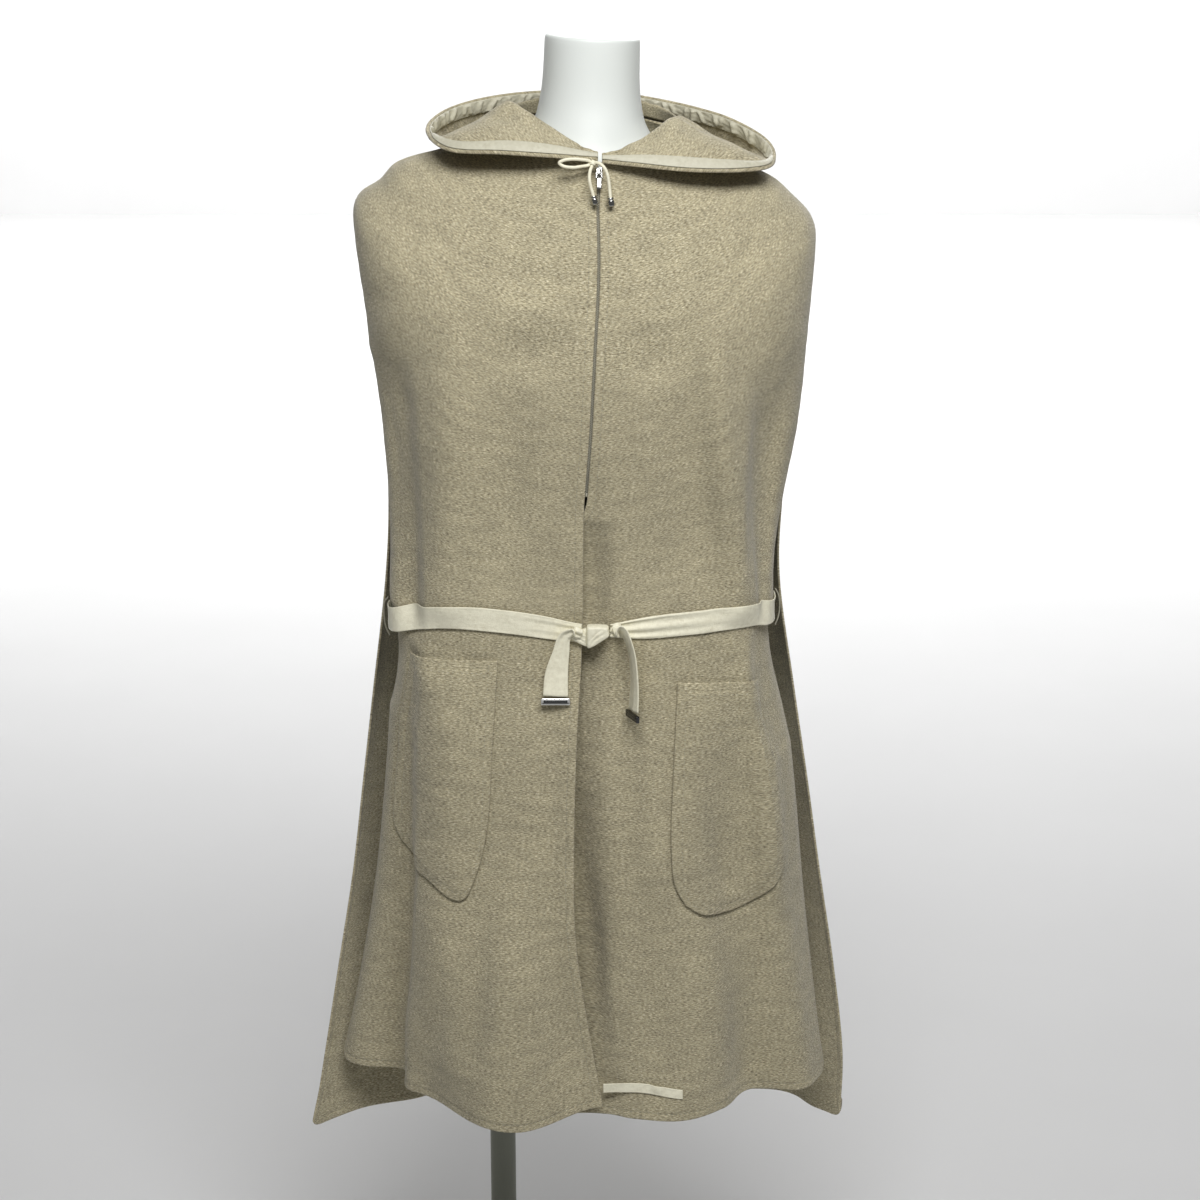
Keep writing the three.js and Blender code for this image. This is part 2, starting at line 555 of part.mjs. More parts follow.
// The hood's visible inner face, from the neck seam to the edge, and the leather binding along the edge.
function hood(word, side) {
  const angles = [...steps(3, 78, 9), ...steps(86, 179.9, 10)];
  const grid = angles.map(angle => {
    const curve = hoodSection(side, angle);
    const length = curve.getLength();
    const strip = min(BINDING_WIDTH, length * 0.45);
    const places = [...steps(HOOD_FOOT, length - strip, 8), length - strip / 2, length];
    return places.map(place => {
      const p = curve.getPointAt(place / length);
      return round(side, angle, p.x, p.y);
    });
  });
  const face = { outer: grid, normals: gridNormals(grid, vec(0, 0, 1)) };
  add(`hood_${word}`, wall(face.outer, moved(face, -WOOL)), 'wool');
  const strip = lift => moved(face, lift).slice(1).map(row => row.slice(-3));
  add(`hood_binding_${word}`, wall(strip(LIE_GAP + LEATHER), strip(LIE_GAP)), 'leather');
}

// Where a line along Y from the front meets the fronts, so that other pieces can lie on them.
const ray = new THREE.Raycaster();
const EDGE_REACH = 12;
function onFront(x, z, out) {
  const meshes = poncho.children.filter(mesh => /^front_/.test(mesh.name));
  for (let inward = 0; inward < EDGE_REACH; inward += 1) {
    ray.set(vec(x - Math.sign(x) * inward, -600, z), vec(0, 1, 0));
    const [hit] = ray.intersectObjects(meshes);
    if (hit) return vec(x, hit.point.y - out, z);
  }
  throw new Error(`no cloth at ${x}, ${z}`);
}

// A piece that lies on a front: a layer over the panel, cut to an outline in x and z.
function laid(word, outline, lift, thick) {
  const layer = wall(moved(panels[word], lift + thick), moved(panels[word], lift));
  const cutter = new THREE.ExtrudeGeometry(outline, { depth: 300, bevelEnabled: false, curveSegments: 7 });
  return geometryOf(solidOf(layer).intersect(solidOf(cutter.rotateX(PI / 2))));
}

// The outline of a strip along a path of x and z.
function stripOutline(path, width, count) {
  const keyed = path.map((point, index) => ({ ...point, index }));
  const line = steps(0, path.length - 1, count).map(k =>
    new THREE.Vector2(read(keyed, 'index', 'x', k), read(keyed, 'index', 'z', k)));
  const side = sign => line.map((p, i) => {
    const way = line[min(line.length - 1, i + 1)].clone().sub(line[max(0, i - 1)]).normalize();
    return new THREE.Vector2(p.x - way.y * sign * width / 2, p.y + way.x * sign * width / 2);
  });
  return new THREE.Shape([...side(1), ...side(-1).reverse()]);
}

function beltFronts() {
  for (const [word, path] of Object.entries(BELT_PATH)) {
    add(`belt_front_${word}`, laid(word, stripOutline(path, BELT_WIDTH, 12), BELT_GAP, LEATHER), 'leather');
  }
}

function strap(points, across, thick) {
  const grid = offset => points.map((p, i) => {
    const way = points[min(points.length - 1, i + 1)].clone().sub(points[max(0, i - 1)]).normalize();
    const side = across(i);
    const normal = way.clone().cross(side).normalize();
    return steps(-1, 1, 2).map(k => p.clone().addScaledVector(side, k).addScaledVector(normal, offset));
  });
  return wall(grid(thick / 2), grid(-thick / 2));
}

function beltBack() {
  const curve = new THREE.CatmullRomCurve3(BELT_BACK.map(p => vec(...p)));
  const points = curve.getSpacedPoints(24);
  add('belt_back', strap(points, () => vec(0, 0, BELT_WIDTH / 2), LEATHER), 'leather');
}

function beltTails() {
  for (const [word, rows] of Object.entries(BELT_TAILS)) {
    const at = (column, k) => read(rows, 'index', column, k);
    const places = steps(0, rows.length - 1, 12);
    const points = places.map(k => {
      const [x, z] = [at('x', k), at('z', k)];
      return onFront(x, z, at('out', k));
    });
    const across = i => {
      const twist = degrees(at('twist', places[i]));
      const before = points[max(0, i - 1)];
      const after = points[min(points.length - 1, i + 1)];
      const way = after.clone().sub(before).normalize();
      const flat = vec(cos(twist), sin(twist), 0);
      flat.addScaledVector(way, -flat.dot(way)).normalize();
      return flat.multiplyScalar(at('half', places[i]));
    };
    add(`belt_tail_${word}`, strap(points, across, LEATHER * 1.4), 'leather');
    const bar = new THREE.BoxGeometry(BELT_TIP[word], BELT_TIP.depth, BELT_TIP.height);
    const tip = add(`belt_tip_${word}`, bar, 'metal');
    tip.position.copy(points.at(-1)).add(vec(0, 0, -BELT_TIP.height / 2 - SEAM_GAP - LEATHER));
    tip.rotation.z = degrees(rows.at(-1).twist);
  }
}

function beltKnot() {
  const seat = onFront(KNOT.x, KNOT.z, 0).y - KNOT_GAP;
  const rings = KNOT_RINGS.map(({ out, half, tall }) => steps(0, 2 * PI, KNOT.sides).slice(1).map(turn => {
    const [a, b] = [cos(turn), sin(turn)];
    const size = (abs(a) ** KNOT.square + abs(b) ** KNOT.square) ** (1 / KNOT.square);
    const sag = b < 0 ? 1 + KNOT.sag * max(0, -a) : 1;
    return vec(KNOT.x + half * a / size, seat - out, KNOT.z + tall * b / size * sag);
  }));
  add('belt_knot', loft(rings), 'leather');
}

function beltLoops() {
  for (const [word, route] of Object.entries(BELT_LOOPS)) {
    add(`belt_loop_${word}`, cordSolid(route, BELT_LOOP_WIDTH, 6), 'wool');
  }
}

function pocket(word) {
  const corner = POCKETS[word];
  const outline = new THREE.Shape();
  outline.moveTo(...corner.innerTop);
  outline.lineTo(...corner.outerTop);
  outline.lineTo(...corner.outerLow);
  outline.quadraticCurveTo(...corner.outerCorner, ...corner.bottom);
  outline.quadraticCurveTo(...corner.innerCorner, ...corner.innerLow);
  add(`pocket_${word}`, laid(word, outline, LIE_GAP, POCKET_WOOL), 'wool');
}

// A round cord along a route.
function cordSolid(route, width, sides = 8) {
  const circle = new THREE.Shape();
  circle.absarc(0, 0, width / 2, 0, 2 * PI);
  const path = new THREE.CatmullRomCurve3(route.map(p => vec(...p)));
  const count = Math.round(path.getLength() / (2.2 * width)) + 2;
  return new THREE.ExtrudeGeometry(circle, { steps: count, extrudePath: path, curveSegments: sides / 2 });
}

function drawstring() {
  for (const [name, route] of Object.entries(CORD_ROUTES)) add(name, cordSolid(route, CORD_WIDTH), 'leather');
  const ball = new THREE.SphereGeometry(BOW_KNOT_RADIUS, 12, 8).scale(1, 0.75, 1);
  const knot = add('drawstring_knot', ball, 'leather');
  knot.position.set(...BOW_KNOT);
  for (const word of ['right', 'left']) {
    const route = CORD_ROUTES[`drawstring_end_${word}`];
    const way = vec(...route.at(-1)).sub(vec(...route.at(-2))).normalize();
    const length = CORD_TIP[word];
    const shape = new THREE.CylinderGeometry(CORD_TIP.radius, CORD_TIP.radius, length, 16);
    const tip = add(`cord_tip_${word}`, shape, 'metal');
    tip.position.set(...route.at(-1)).addScaledVector(way, length / 2 + SEAM_GAP);
    tip.quaternion.setFromUnitVectors(vec(0, 1, 0), way);
  }
}

// The zip: a tape behind the two edges, a slider in front of them and its pull, which swings.
function zip() {
  const rows = steps(0.15, ZIP_BOTTOM_ROW, 14).map(v => {
    const [p, q] = [frontFace(-1, 0, v), frontFace(1, 0, v)];
    return vec((p.x + q.x) / 2, max(p.y, q.y), p.z);
  });
  const tape = lift => rows.map(p => [-1, 0, 1].map(k => vec(p.x + k * ZIP_TAPE_WIDTH / 2, p.y + lift, p.z)));
  add('zip_tape', wall(tape(WOOL + 1.1), tape(WOOL + 2.2)), 'tape');
  const slider = new THREE.Group();
  slider.position.set(ZIP_SEAT.x, ZIP_SEAT.y, ZIP_SEAT.z);
  slider.rotation.x = -degrees(ZIP_SEAT.tilt);
  poncho.add(slider);
  add('zip_slider', boxes(SLIDER_BOXES), 'metal', slider);
  add('zip_pull', boxes(PULL_BOXES), 'metal', slider);
}

function hemTab() {
  add('hem_tab', laid('left', stripOutline(HEM_TAB, HEM_TAB_HEIGHT, 6), LIE_GAP, LEATHER), 'leather');
}

function dressForm() {
  const ring = row => steps(0, 2 * PI, FORM_SIDES).slice(1).map(turn => {
    const [a, b] = [sin(turn), cos(turn)];
    const size = (abs(a) ** row.full + abs(b) ** row.full) ** (1 / row.full);
    const depth = b < 0 ? row.front : row.back;
    const x = row.x + row.half * a / size;
    return vec(x, abs(b) / size * depth, row.z - row.lean * (x - row.x));
  });
  add('form_torso', loft(FORM.map(ring)), 'form');
  const disc = (radius, height) =>
    new THREE.CylinderGeometry(radius, radius, height, FORM_SIDES).rotateX(PI / 2);
  const flangeTop = FORM[0].z - SEAM_GAP;
  const flange = add('form_flange', disc(FLANGE.radius, FLANGE.height), 'steel');
  flange.position.set(POLE.x, POLE.y, flangeTop - FLANGE.height / 2);
  const poleTop = flangeTop - FLANGE.height - SEAM_GAP;
  const poleFoot = FOOT_HEIGHT + SEAM_GAP;
  const pole = add('form_pole', disc(POLE.radius, poleTop - poleFoot), 'steel');
  pole.position.set(POLE.x, POLE.y, (poleTop + poleFoot) / 2);
  const edge = 2;
  const profile = [[0, 0], [FOOT_RADIUS, 0], [FOOT_RADIUS, FOOT_HEIGHT - edge],
    [FOOT_RADIUS - edge, FOOT_HEIGHT], [0, FOOT_HEIGHT]];
  const foot = new THREE.LatheGeometry(profile.map(p => new THREE.Vector2(...p)), 48).rotateX(PI / 2);
  add('form_foot', foot, 'steel');
}

dressForm();
front('right', -1);
front('left', 1);
back();
hood('right', -1);
hood('left', 1);
zip();
drawstring();
pocket('right');
pocket('left');
beltFronts();
beltBack();
beltKnot();
beltTails();
beltLoops();
hemTab();

export default poncho;
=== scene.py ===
"""A hooded wool poncho with a tied leather belt, worn on a limbless dress form on a round steel foot."""
import math
import bpy
import numpy as np
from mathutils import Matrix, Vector


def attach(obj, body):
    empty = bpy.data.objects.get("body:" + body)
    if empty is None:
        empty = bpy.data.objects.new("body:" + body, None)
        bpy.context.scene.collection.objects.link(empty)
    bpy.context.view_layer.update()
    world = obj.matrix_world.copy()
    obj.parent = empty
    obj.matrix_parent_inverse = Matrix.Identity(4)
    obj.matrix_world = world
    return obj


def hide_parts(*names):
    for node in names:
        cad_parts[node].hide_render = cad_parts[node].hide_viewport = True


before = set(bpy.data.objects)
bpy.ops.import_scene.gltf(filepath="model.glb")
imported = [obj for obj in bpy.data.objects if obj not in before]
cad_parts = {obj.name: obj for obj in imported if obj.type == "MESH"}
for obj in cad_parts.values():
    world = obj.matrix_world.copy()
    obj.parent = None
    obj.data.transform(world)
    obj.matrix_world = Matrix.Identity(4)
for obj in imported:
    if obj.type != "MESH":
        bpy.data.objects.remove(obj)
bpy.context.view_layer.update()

# Tables and sizes of the cloth are in millimetres; cords, flat sizes, camera and studio in metres.
# Right and left are the wearer's, so right is at -X, and the front of the garment is towards -Y.
MM = 0.001
RIGHT, LEFT = -1, 1
WORD = {RIGHT: "right", LEFT: "left"}

# Cloth, leather and the gaps between pieces
WOOL = 2.4
POCKET_WOOL = 2.0
LEATHER = 1.1
SEAM_GAP = 0.3
LIE_GAP = 0.7
BELT_GAP = 0.9
STITCH_INSET = 8.0

# Neck and hood
NECK_X, NECK_Y = 6, 25
LEAN = 0.034
NECK_SKEW = 8
SHOULDER_ANGLE = 80
CLOSURE_ANGLE = 0.8
BINDING_WIDTH = 20
HOOD_FOOT = 1.68
RIM_ARC = 1.9

# Closure
ZIP_BOTTOM = 1033
ZIP_BOTTOM_ROW = 6.8
ZIP_HALF_GAP = 1.2
ZIP_TAPE_WIDTH = 16
UNDERLAP = 26
UNDERLAP_START = 70
SINK_START = 50
SINK_GAP = 1.4
SINK_WIDTH = 26
CORNER_LIFT = 14
HEM_CORNER = 9
FRONT_CORNER, BACK_CORNER = 0.06, 0.04
SEAM_ROWS = 4

# Belt, cords and stand
BELT_WIDTH = 23
HEM_TAB_HEIGHT = 10
BELT_MIDDLE = (0, 20, 0)
CORD_WIDTH = 0.0031
TIP_OVERLAP = 4.0
KNOT_SIDES = 96
KNOT_X, KNOT_Z = 12, 902.5
FORM_BOTTOM, FORM_TOP = 700, 1449
FORM_SIDES = 144
FOOT_RADIUS, FOOT_HEIGHT = 200, 8
POLE_X, POLE_RADIUS = -90, 13.5
FLANGE_RADIUS, FLANGE_HEIGHT = 38, 6


def table(columns, rows):
    """A table with named columns, as one array for each column, and the rows' numbers as index."""
    named = {name: np.array([row[i] for row in rows], float) for i, name in enumerate(columns.split())}
    named["index"] = np.arange(len(rows), dtype=float)
    return named


# The fronts, from the row under the neckline to the hem. Each row runs from the closure (mid) to the
# shoulder seam in the first four rows and to the free side edge below. full is the exponent of the
# superellipse that joins them: 2 is an ellipse, and more is squarer.
FRONT = table("zMid xMid yMid zRight xRight yRight zLeft xLeft yLeft full", [
    (1300, 12, -89, 1342, -140, 8, 1330, 148, 8, 2.1),
    (1255, 13, -108, 1331, -179, 6, 1317, 178, 6, 2.2),
    (1218, 12, -120, 1314, -197, 5, 1301, 197, 5, 2.3),
    (1185, 10, -131, 1297, -219, 4, 1277, 218, 4, 2.4),
    (1145, 8, -137, 1262, -220, 0, 1245, 220, 0, 2.5),
    (1090, 5, -136, 1180, -210, -5, 1170, 214, -5, 2.6),
    (1020, 0, -131, 1090, -204, -12, 1085, 208, -12, 2.6),
    (960, -2, -129, 1000, -199, -20, 998, 198, -20, 2.6),
    (930, -2, -131, 930, -195, -33, 933, 188, -33, 2.7),
    (905, -3, -131, 897, -192, -41, 904, 183, -41, 2.8),
    (868, -4, -134, 860, -193, -38, 867, 188, -39, 2.7),
    (800, -8, -143, 795, -197, -31, 800, 200, -36, 2.4),
    (700, -11, -148, 697, -206, -25, 700, 212, -36, 2.15),
    (600, -10, -151, 600, -218, -17, 600, 222, -36, 1.95),
    (500, 1, -152, 498, -236, -10, 500, 234, -41, 1.75),
    (395, 17, -150, 395, -257, -9, 397, 247, -48, 1.6),
])
FRONT_ROWS = 16

# The back, seamed to the fronts along the shoulders in its first four rows and free below.
BACK = table("zMid yMid zRight xRight yRight zLeft xLeft yLeft full", [
    (1338, 93, 1342, -140, 8, 1330, 148, 8, 2.0),
    (1300, 110, 1331, -179, 6, 1317, 178, 6, 2.1),
    (1265, 118, 1314, -197, 5, 1301, 197, 5, 2.2),
    (1230, 124, 1297, -219, 4, 1277, 218, 4, 2.3),
    (1185, 128, 1262, -218, 7, 1245, 218, 7, 2.3),
    (1110, 129, 1180, -207, 11, 1170, 211, 11, 2.2),
    (1030, 130, 1090, -200, 12, 1085, 204, 12, 2.1),
    (960, 132, 1000, -197, 12, 998, 196, 12, 2.0),
    (900, 134, 915, -202, 11, 915, 195, 11, 1.9),
    (800, 138, 800, -217, 10, 800, 212, 10, 1.7),
    (700, 141, 700, -230, 6, 700, 228, 8, 1.55),
    (600, 144, 600, -243, 1, 600, 243, 5, 1.45),
    (500, 147, 500, -260, -5, 500, 259, 0, 1.35),
    (400, 149, 400, -277, -14, 400, 271, -8, 1.25),
    (318, 150, 318, -291, -25, 318, 271, -3, 1.2),
])
BACK_ROWS = 15

# The large folds. share is the place across the half panel, 0 at its middle and 1 at its side edge;
# depth is how far the cloth stands out (a ridge) or in (a trough), and wide is half the width. Columns:
# side zTop zBottom shareTop shareBottom wideTop wideBottom depthTop depthBottom fadeTop fadeBottom
FRONT_FOLDS = [
    (-1, 1200, 900, 0.60, 0.68, 0.24, 0.20, 3, 7, 90, 30),
    (-1, 1190, 880, 0.86, 0.89, 0.13, 0.12, -9, -14, 80, 40),
    (-1, 893, 395, 0.72, 0.52, 0.18, 0.22, 6, 8, 60, 60),
    (-1, 700, 395, 0.42, 0.34, 0.28, 0.35, 6, 42, 160, 0),
    (-1, 850, 395, 0.90, 0.86, 0.12, 0.14, -9, -34, 70, 0),
    (1, 1210, 893, 0.54, 0.82, 0.17, 0.15, 4, 9, 90, 30),
    (1, 1150, 893, 0.82, 0.95, 0.13, 0.05, -8, -5, 90, 30),
    (1, 880, 395, 0.84, 0.88, 0.11, 0.12, 7, 8, 50, 0),
    (1, 820, 395, 0.66, 0.70, 0.16, 0.18, -4, -20, 70, 0),
    (1, 800, 395, 0.38, 0.34, 0.28, 0.30, 4, 19, 120, 0),
    (1, 900, 560, 0.16, 0.20, 0.16, 0.20, -9, -5, 60, 120),
]
BACK_FOLDS = [
    (-1, 1150, 318, 0.50, 0.36, 0.22, 0.20, 4, 24, 200, 0),
    (-1, 1000, 318, 0.70, 0.66, 0.18, 0.20, -4, -16, 200, 0),
    (1, 1120, 318, 0.42, 0.30, 0.22, 0.18, 4, 18, 200, 0),
    (1, 1050, 318, 0.64, 0.56, 0.18, 0.18, -4, -14, 200, 0),
    (1, 900, 318, 0.84, 0.78, 0.14, 0.14, 3, 12, 200, 0),
    (-1, 980, 318, 0.06, 0.04, 0.16, 0.18, -3, -14, 200, 0),
    (1, 980, 318, -0.06, -0.04, 0.16, 0.18, -3, -14, 200, 0),
]

# Creases, placed in x and z from one end to the other. bow bends the line sideways, half is
# its half width and depth is how far the cloth stands out or, below 0, in.
# Columns: x1 z1 x2 z2 bow half depth
CREASE_REACH = 1.6
FRONT_CREASES = [
    (-18, 1316, -52, 1300, 3, 5, -1.2), (-20, 1306, -66, 1286, -4, 7, 1.0),
    (-14, 1296, -44, 1270, 2, 6, -0.9), (36, 1316, 66, 1302, -3, 5, -1.1), (34, 1304, 76, 1284, 3, 7, 0.9),
    (32, 1290, 58, 1262, -2, 6, -0.8), (-150, 1290, -204, 1200, 14, 16, -2.2),
    (-168, 1262, -208, 1150, 10, 12, 1.6), (-120, 1300, -178, 1236, 10, 14, 1.4),
    (-196, 1180, -186, 1040, -5, 10, -2.4), (-178, 1120, -172, 960, 4, 11, 2.0),
    (-150, 1080, -158, 930, -4, 13, -1.8), (150, 1290, 204, 1210, -14, 15, -2.4),
    (164, 1270, 208, 1160, -10, 11, 1.8), (116, 1296, 186, 1242, -8, 13, 1.5),
    (196, 1190, 184, 1050, 6, 10, -2.2), (170, 1130, 164, 950, -4, 10, -2.2),
    (146, 1060, 150, 928, 3, 8, 1.6), (-60, 1190, -92, 1060, 8, 26, -1.6),
    (70, 1200, 88, 1050, -8, 24, -1.5), (-40, 1080, -64, 940, 6, 20, 1.2),
    (-176, 884, -166, 800, 5, 8, -2.6), (-150, 884, -146, 836, -3, 6, 1.4),
    (-118, 888, -112, 850, 3, 7, -1.3), (-70, 892, -60, 842, 4, 8, 1.2), (-40, 890, -48, 820, -4, 10, -1.4),
    (-186, 862, -180, 760, 3, 7, 1.8), (44, 892, 52, 830, 4, 9, -1.5), (78, 896, 76, 862, -3, 7, 1.2),
    (112, 898, 116, 862, 3, 7, -1.3), (142, 900, 146, 862, -3, 6, 1.3), (166, 892, 172, 800, -5, 8, -2.4),
    (180, 880, 188, 760, 3, 7, 1.7), (-170, 926, -160, 990, 4, 8, 1.6), (-120, 930, -110, 980, -3, 8, -1.2),
    (-64, 924, -58, 972, 3, 8, 1.0), (60, 922, 54, 976, 3, 8, -1.1), (118, 926, 112, 990, -3, 8, 1.2),
    (160, 922, 152, 1000, 4, 8, -1.6), (-160, 600, -196, 470, 10, 16, -2.2),
    (-60, 640, -66, 520, 6, 22, 1.6), (-26, 560, -34, 420, 4, 18, -1.8), (52, 640, 60, 470, -6, 22, -1.8),
    (150, 590, 172, 470, -8, 16, 1.8), (110, 580, 116, 450, 5, 18, 1.4), (-120, 560, -152, 430, 8, 14, 1.8),
    (196, 560, 214, 430, -6, 14, -2.0), (26, 700, 30, 560, 4, 16, 1.2), (-190, 1160, -187, 915, 0, 23, -9),
    (-128, 1230, -126, 925, 4, 24, 8), (-74, 1180, -70, 930, 3, 22, -6), (116, 1215, 147, 925, -3, 14, 8),
    (180, 1160, 184, 915, 0, 22, -13), (86, 1150, 106, 930, -3, 18, -6), (-112, 1222, 0, 1212, -5, 20, 4),
    (-104, 1172, -4, 1166, 4, 24, -6), (24, 1224, 112, 1218, 5, 20, 4), (30, 1176, 104, 1168, -4, 24, -7),
    (-186, 915, -192, 800, 0, 22, -8), (178, 910, 190, 760, 0, 17, -10), (150, 905, 160, 800, 0, 12, 4),
    (168, 805, 187, 590, 2, 13, 8), (-128, 880, -124, 690, 3, 30, 6), (112, 860, 118, 690, -3, 30, 5),
    (-150, 640, -176, 420, 4, 18, 8), (62, 660, 66, 398, 3, 34, -12), (-60, 700, -66, 402, 2, 30, 8),
    (128, 640, 140, 420, 3, 26, 8), (-110, 640, -118, 410, 2, 18, -6),
]
# The left front falls back beside the closure, behind the right front's edge.
CLOSURE_CREASES = [
    (6, 1012, 2, 890, 0, 20, -12), (-13, 945, -15, 400, 0, 27, -27), (44, 890, 40, 640, 3, 14, -4),
    (-8, 740, -2, 330, 3, 32, -18),
]
OVERLAP_CREASES = [(-2, 1010, -4, 905, 0, 13, 4), (-8, 900, -14, 480, 0, 16, 8)]
BACK_CREASES = [
    (-60, 1270, -120, 1180, 10, 22, -2.0), (40, 1276, 110, 1190, -10, 22, -1.9),
    (-150, 1250, -196, 1130, 10, 16, -2.4), (150, 1250, 196, 1140, -10, 15, -2.3),
    (-100, 1210, -150, 1090, 8, 20, 1.8), (96, 1200, 150, 1080, -8, 20, 1.7),
    (-176, 1100, -170, 920, -5, 12, 2.2), (174, 1090, 172, 900, 5, 12, 2.0),
    (-20, 1180, -28, 960, 6, 28, 1.6), (30, 1040, 26, 820, -6, 26, -1.8),
    (-130, 960, -150, 740, 8, 22, -2.2), (120, 940, 140, 720, -8, 22, -2.0),
    (-70, 820, -90, 560, 8, 24, 2.0), (70, 760, 84, 520, -8, 24, 1.9), (-180, 760, -214, 520, 10, 20, 2.2),
    (186, 740, 212, 500, -10, 20, -2.2), (-10, 640, -12, 420, 4, 22, -2.0),
    (-130, 520, -160, 360, 8, 18, -2.2), (130, 500, 150, 350, -8, 18, 2.0), (40, 470, 50, 340, 5, 18, 1.6),
    (-220, 500, -246, 360, 6, 16, -2.0),
]

# The hood lies open round the neck. Each row is a section at an angle from the front, with radius and
# height at the neck seam, the crest by the neck, the bag's inner and outer lows, and the edge.
HOOD_COLUMNS = "angle seamR seamZ crestR crestZ floorR floorZ bellyR bellyZ edgeR edgeZ"
HOOD = {
    RIGHT: table(HOOD_COLUMNS, [
        (3, 99, 1341, 100, 1350, 103, 1349, 106, 1347, 109, 1343),
        (20, 98, 1342, 91, 1361, 100, 1358, 110, 1353, 119, 1345),
        (40, 96, 1345, 85, 1375, 103, 1368, 122, 1359, 139, 1346),
        (56, 95, 1348, 84, 1384, 111, 1373, 136, 1362, 161, 1345),
        (66, 95, 1351, 86, 1387, 114, 1371, 142, 1359, 164, 1350),
        (78, 95, 1353, 84, 1381, 114, 1358, 150, 1348, 159, 1358),
        (95, 92, 1357, 80, 1376, 112, 1355, 148, 1346, 150, 1366),
        (112, 84, 1362, 79, 1378, 106, 1356, 143, 1336, 141, 1373),
        (125, 78, 1364, 77, 1380, 106, 1344, 142, 1322, 131, 1378),
        (140, 70, 1367, 72, 1382, 108, 1312, 141, 1306, 121, 1382),
        (162, 62, 1370, 66, 1384, 107, 1290, 142, 1298, 112, 1385),
        (180, 60, 1371, 65, 1385, 106, 1284, 143, 1294, 111, 1386),
    ]),
    LEFT: table(HOOD_COLUMNS, [
        (3, 99, 1341, 100, 1349, 103, 1347, 106, 1345, 109, 1341),
        (20, 98, 1342, 91, 1357, 101, 1354, 110, 1348, 119, 1339),
        (40, 96, 1345, 86, 1369, 107, 1361, 126, 1351, 142, 1336),
        (56, 95, 1348, 85, 1377, 117, 1366, 146, 1354, 168, 1336),
        (66, 95, 1351, 88, 1379, 121, 1365, 156, 1352, 181, 1338),
        (78, 95, 1353, 86, 1375, 120, 1357, 164, 1341, 178, 1345),
        (95, 92, 1357, 81, 1374, 114, 1354, 160, 1339, 166, 1357),
        (112, 84, 1362, 79, 1377, 106, 1355, 148, 1334, 143, 1370),
        (125, 78, 1364, 77, 1380, 106, 1344, 143, 1322, 131, 1375),
        (140, 70, 1367, 72, 1382, 108, 1312, 141, 1306, 123, 1379),
        (162, 62, 1370, 66, 1384, 107, 1290, 142, 1298, 113, 1384),
        (180, 60, 1371, 65, 1385, 106, 1284, 143, 1294, 111, 1386),
    ]),
}
HOOD_POINTS = ("seam", "crest", "floor", "belly", "edge")
# Soft folds over the hood: side, angle, place along the section, half widths and height.
HOOD_FOLDS = [
    (RIGHT, 9, 0.55, 4, 0.5, -1.6), (LEFT, 10, 0.50, 5, 0.5, -1.5), (LEFT, 18, 0.60, 4, 0.4, 0.9),
    (RIGHT, 30, 0.55, 9, 0.20, 1.2), (RIGHT, 52, 0.45, 8, 0.25, -1.6), (RIGHT, 70, 0.60, 7, 0.30, 1.6),
    (RIGHT, 98, 0.55, 8, 0.30, -2.4), (RIGHT, 118, 0.62, 7, 0.28, 2.2), (RIGHT, 136, 0.58, 8, 0.30, -2.6),
    (RIGHT, 158, 0.60, 9, 0.30, 2.0), (LEFT, 26, 0.50, 8, 0.22, -1.2), (LEFT, 46, 0.50, 9, 0.25, 1.4),
    (LEFT, 64, 0.40, 6, 0.25, -2.2), (LEFT, 92, 0.58, 8, 0.30, 2.2), (LEFT, 110, 0.60, 8, 0.30, -2.4),
    (LEFT, 130, 0.60, 7, 0.30, 2.4), (LEFT, 150, 0.55, 9, 0.30, -2.0), (LEFT, 170, 0.60, 7, 0.30, 1.4),
]
# Gathers of the leather along the back rim: the angle of each ridge and its height.
GATHERS = [
    (84, 1.0), (89.5, 1.2), (94, 0.9), (99, 1.5), (103.5, 1.0), (109, 1.6), (114, 1.2), (118.5, 1.5),
    (124, 1.1), (128.5, 1.7), (134, 1.3), (138, 1.0), (143.5, 1.6), (149, 1.2), (153, 1.5), (158.5, 1.1),
    (163, 1.6), (168.5, 1.2), (173, 1.5), (178, 1.0),
]

# The dress form, from its flat underside to the top of its neck. lean tips a row down to the left.
FORM = table("z x half front back full lean", [
    (700, 0, 158, -100, 100, 2.3, 0),
    (790, 0, 166, -106, 106, 2.3, 0),
    (893, 0, 140, -90, 88, 2.2, 0),
    (1000, 0, 148, -98, 94, 2.2, 0.010),
    (1090, 0, 160, -114, 104, 2.2, 0.020),
    (1150, 0, 168, -122, 110, 2.3, 0.030),
    (1210, 0, 176, -106, 112, 2.4, 0.034),
    (1265, 0, 182, -86, 102, 2.4, 0.034),
    (1299.4, 0, 180, -71, 84, 2.3, 0.034),
    (1314.5, 0, 168, -65, 74, 2.0, 0.034),
    (1328.5, 1, 130, -63, 66, 1.8, 0.034),
    (1341.5, 2, 90, -61, 58, 1.8, 0.034),
    (1351, 3, 68, -58, 54, 1.9, 0.036),
    (1366, 4, 55, -54, 52, 2.0, 0.040),
    (1390, 5, 48, -49, 51, 2.0, 0.046),
    (1449, 7, 44.6, -46, 48, 2.0, 0.050),
])

# The form's rounded neck edge and flat top, as sizes of its last ring and how far below the top they are
NECK_MIDDLE, NECK_LEAN = (7.0, 1.0, FORM_TOP), 0.050
NECK_RINGS = ((1.0, 2.6), (0.995, 1.5), (0.975, 0.6), (0.94, 0.08), (0.90, 0), (0.6, 0), (0.3, 0), (0.02, 0))

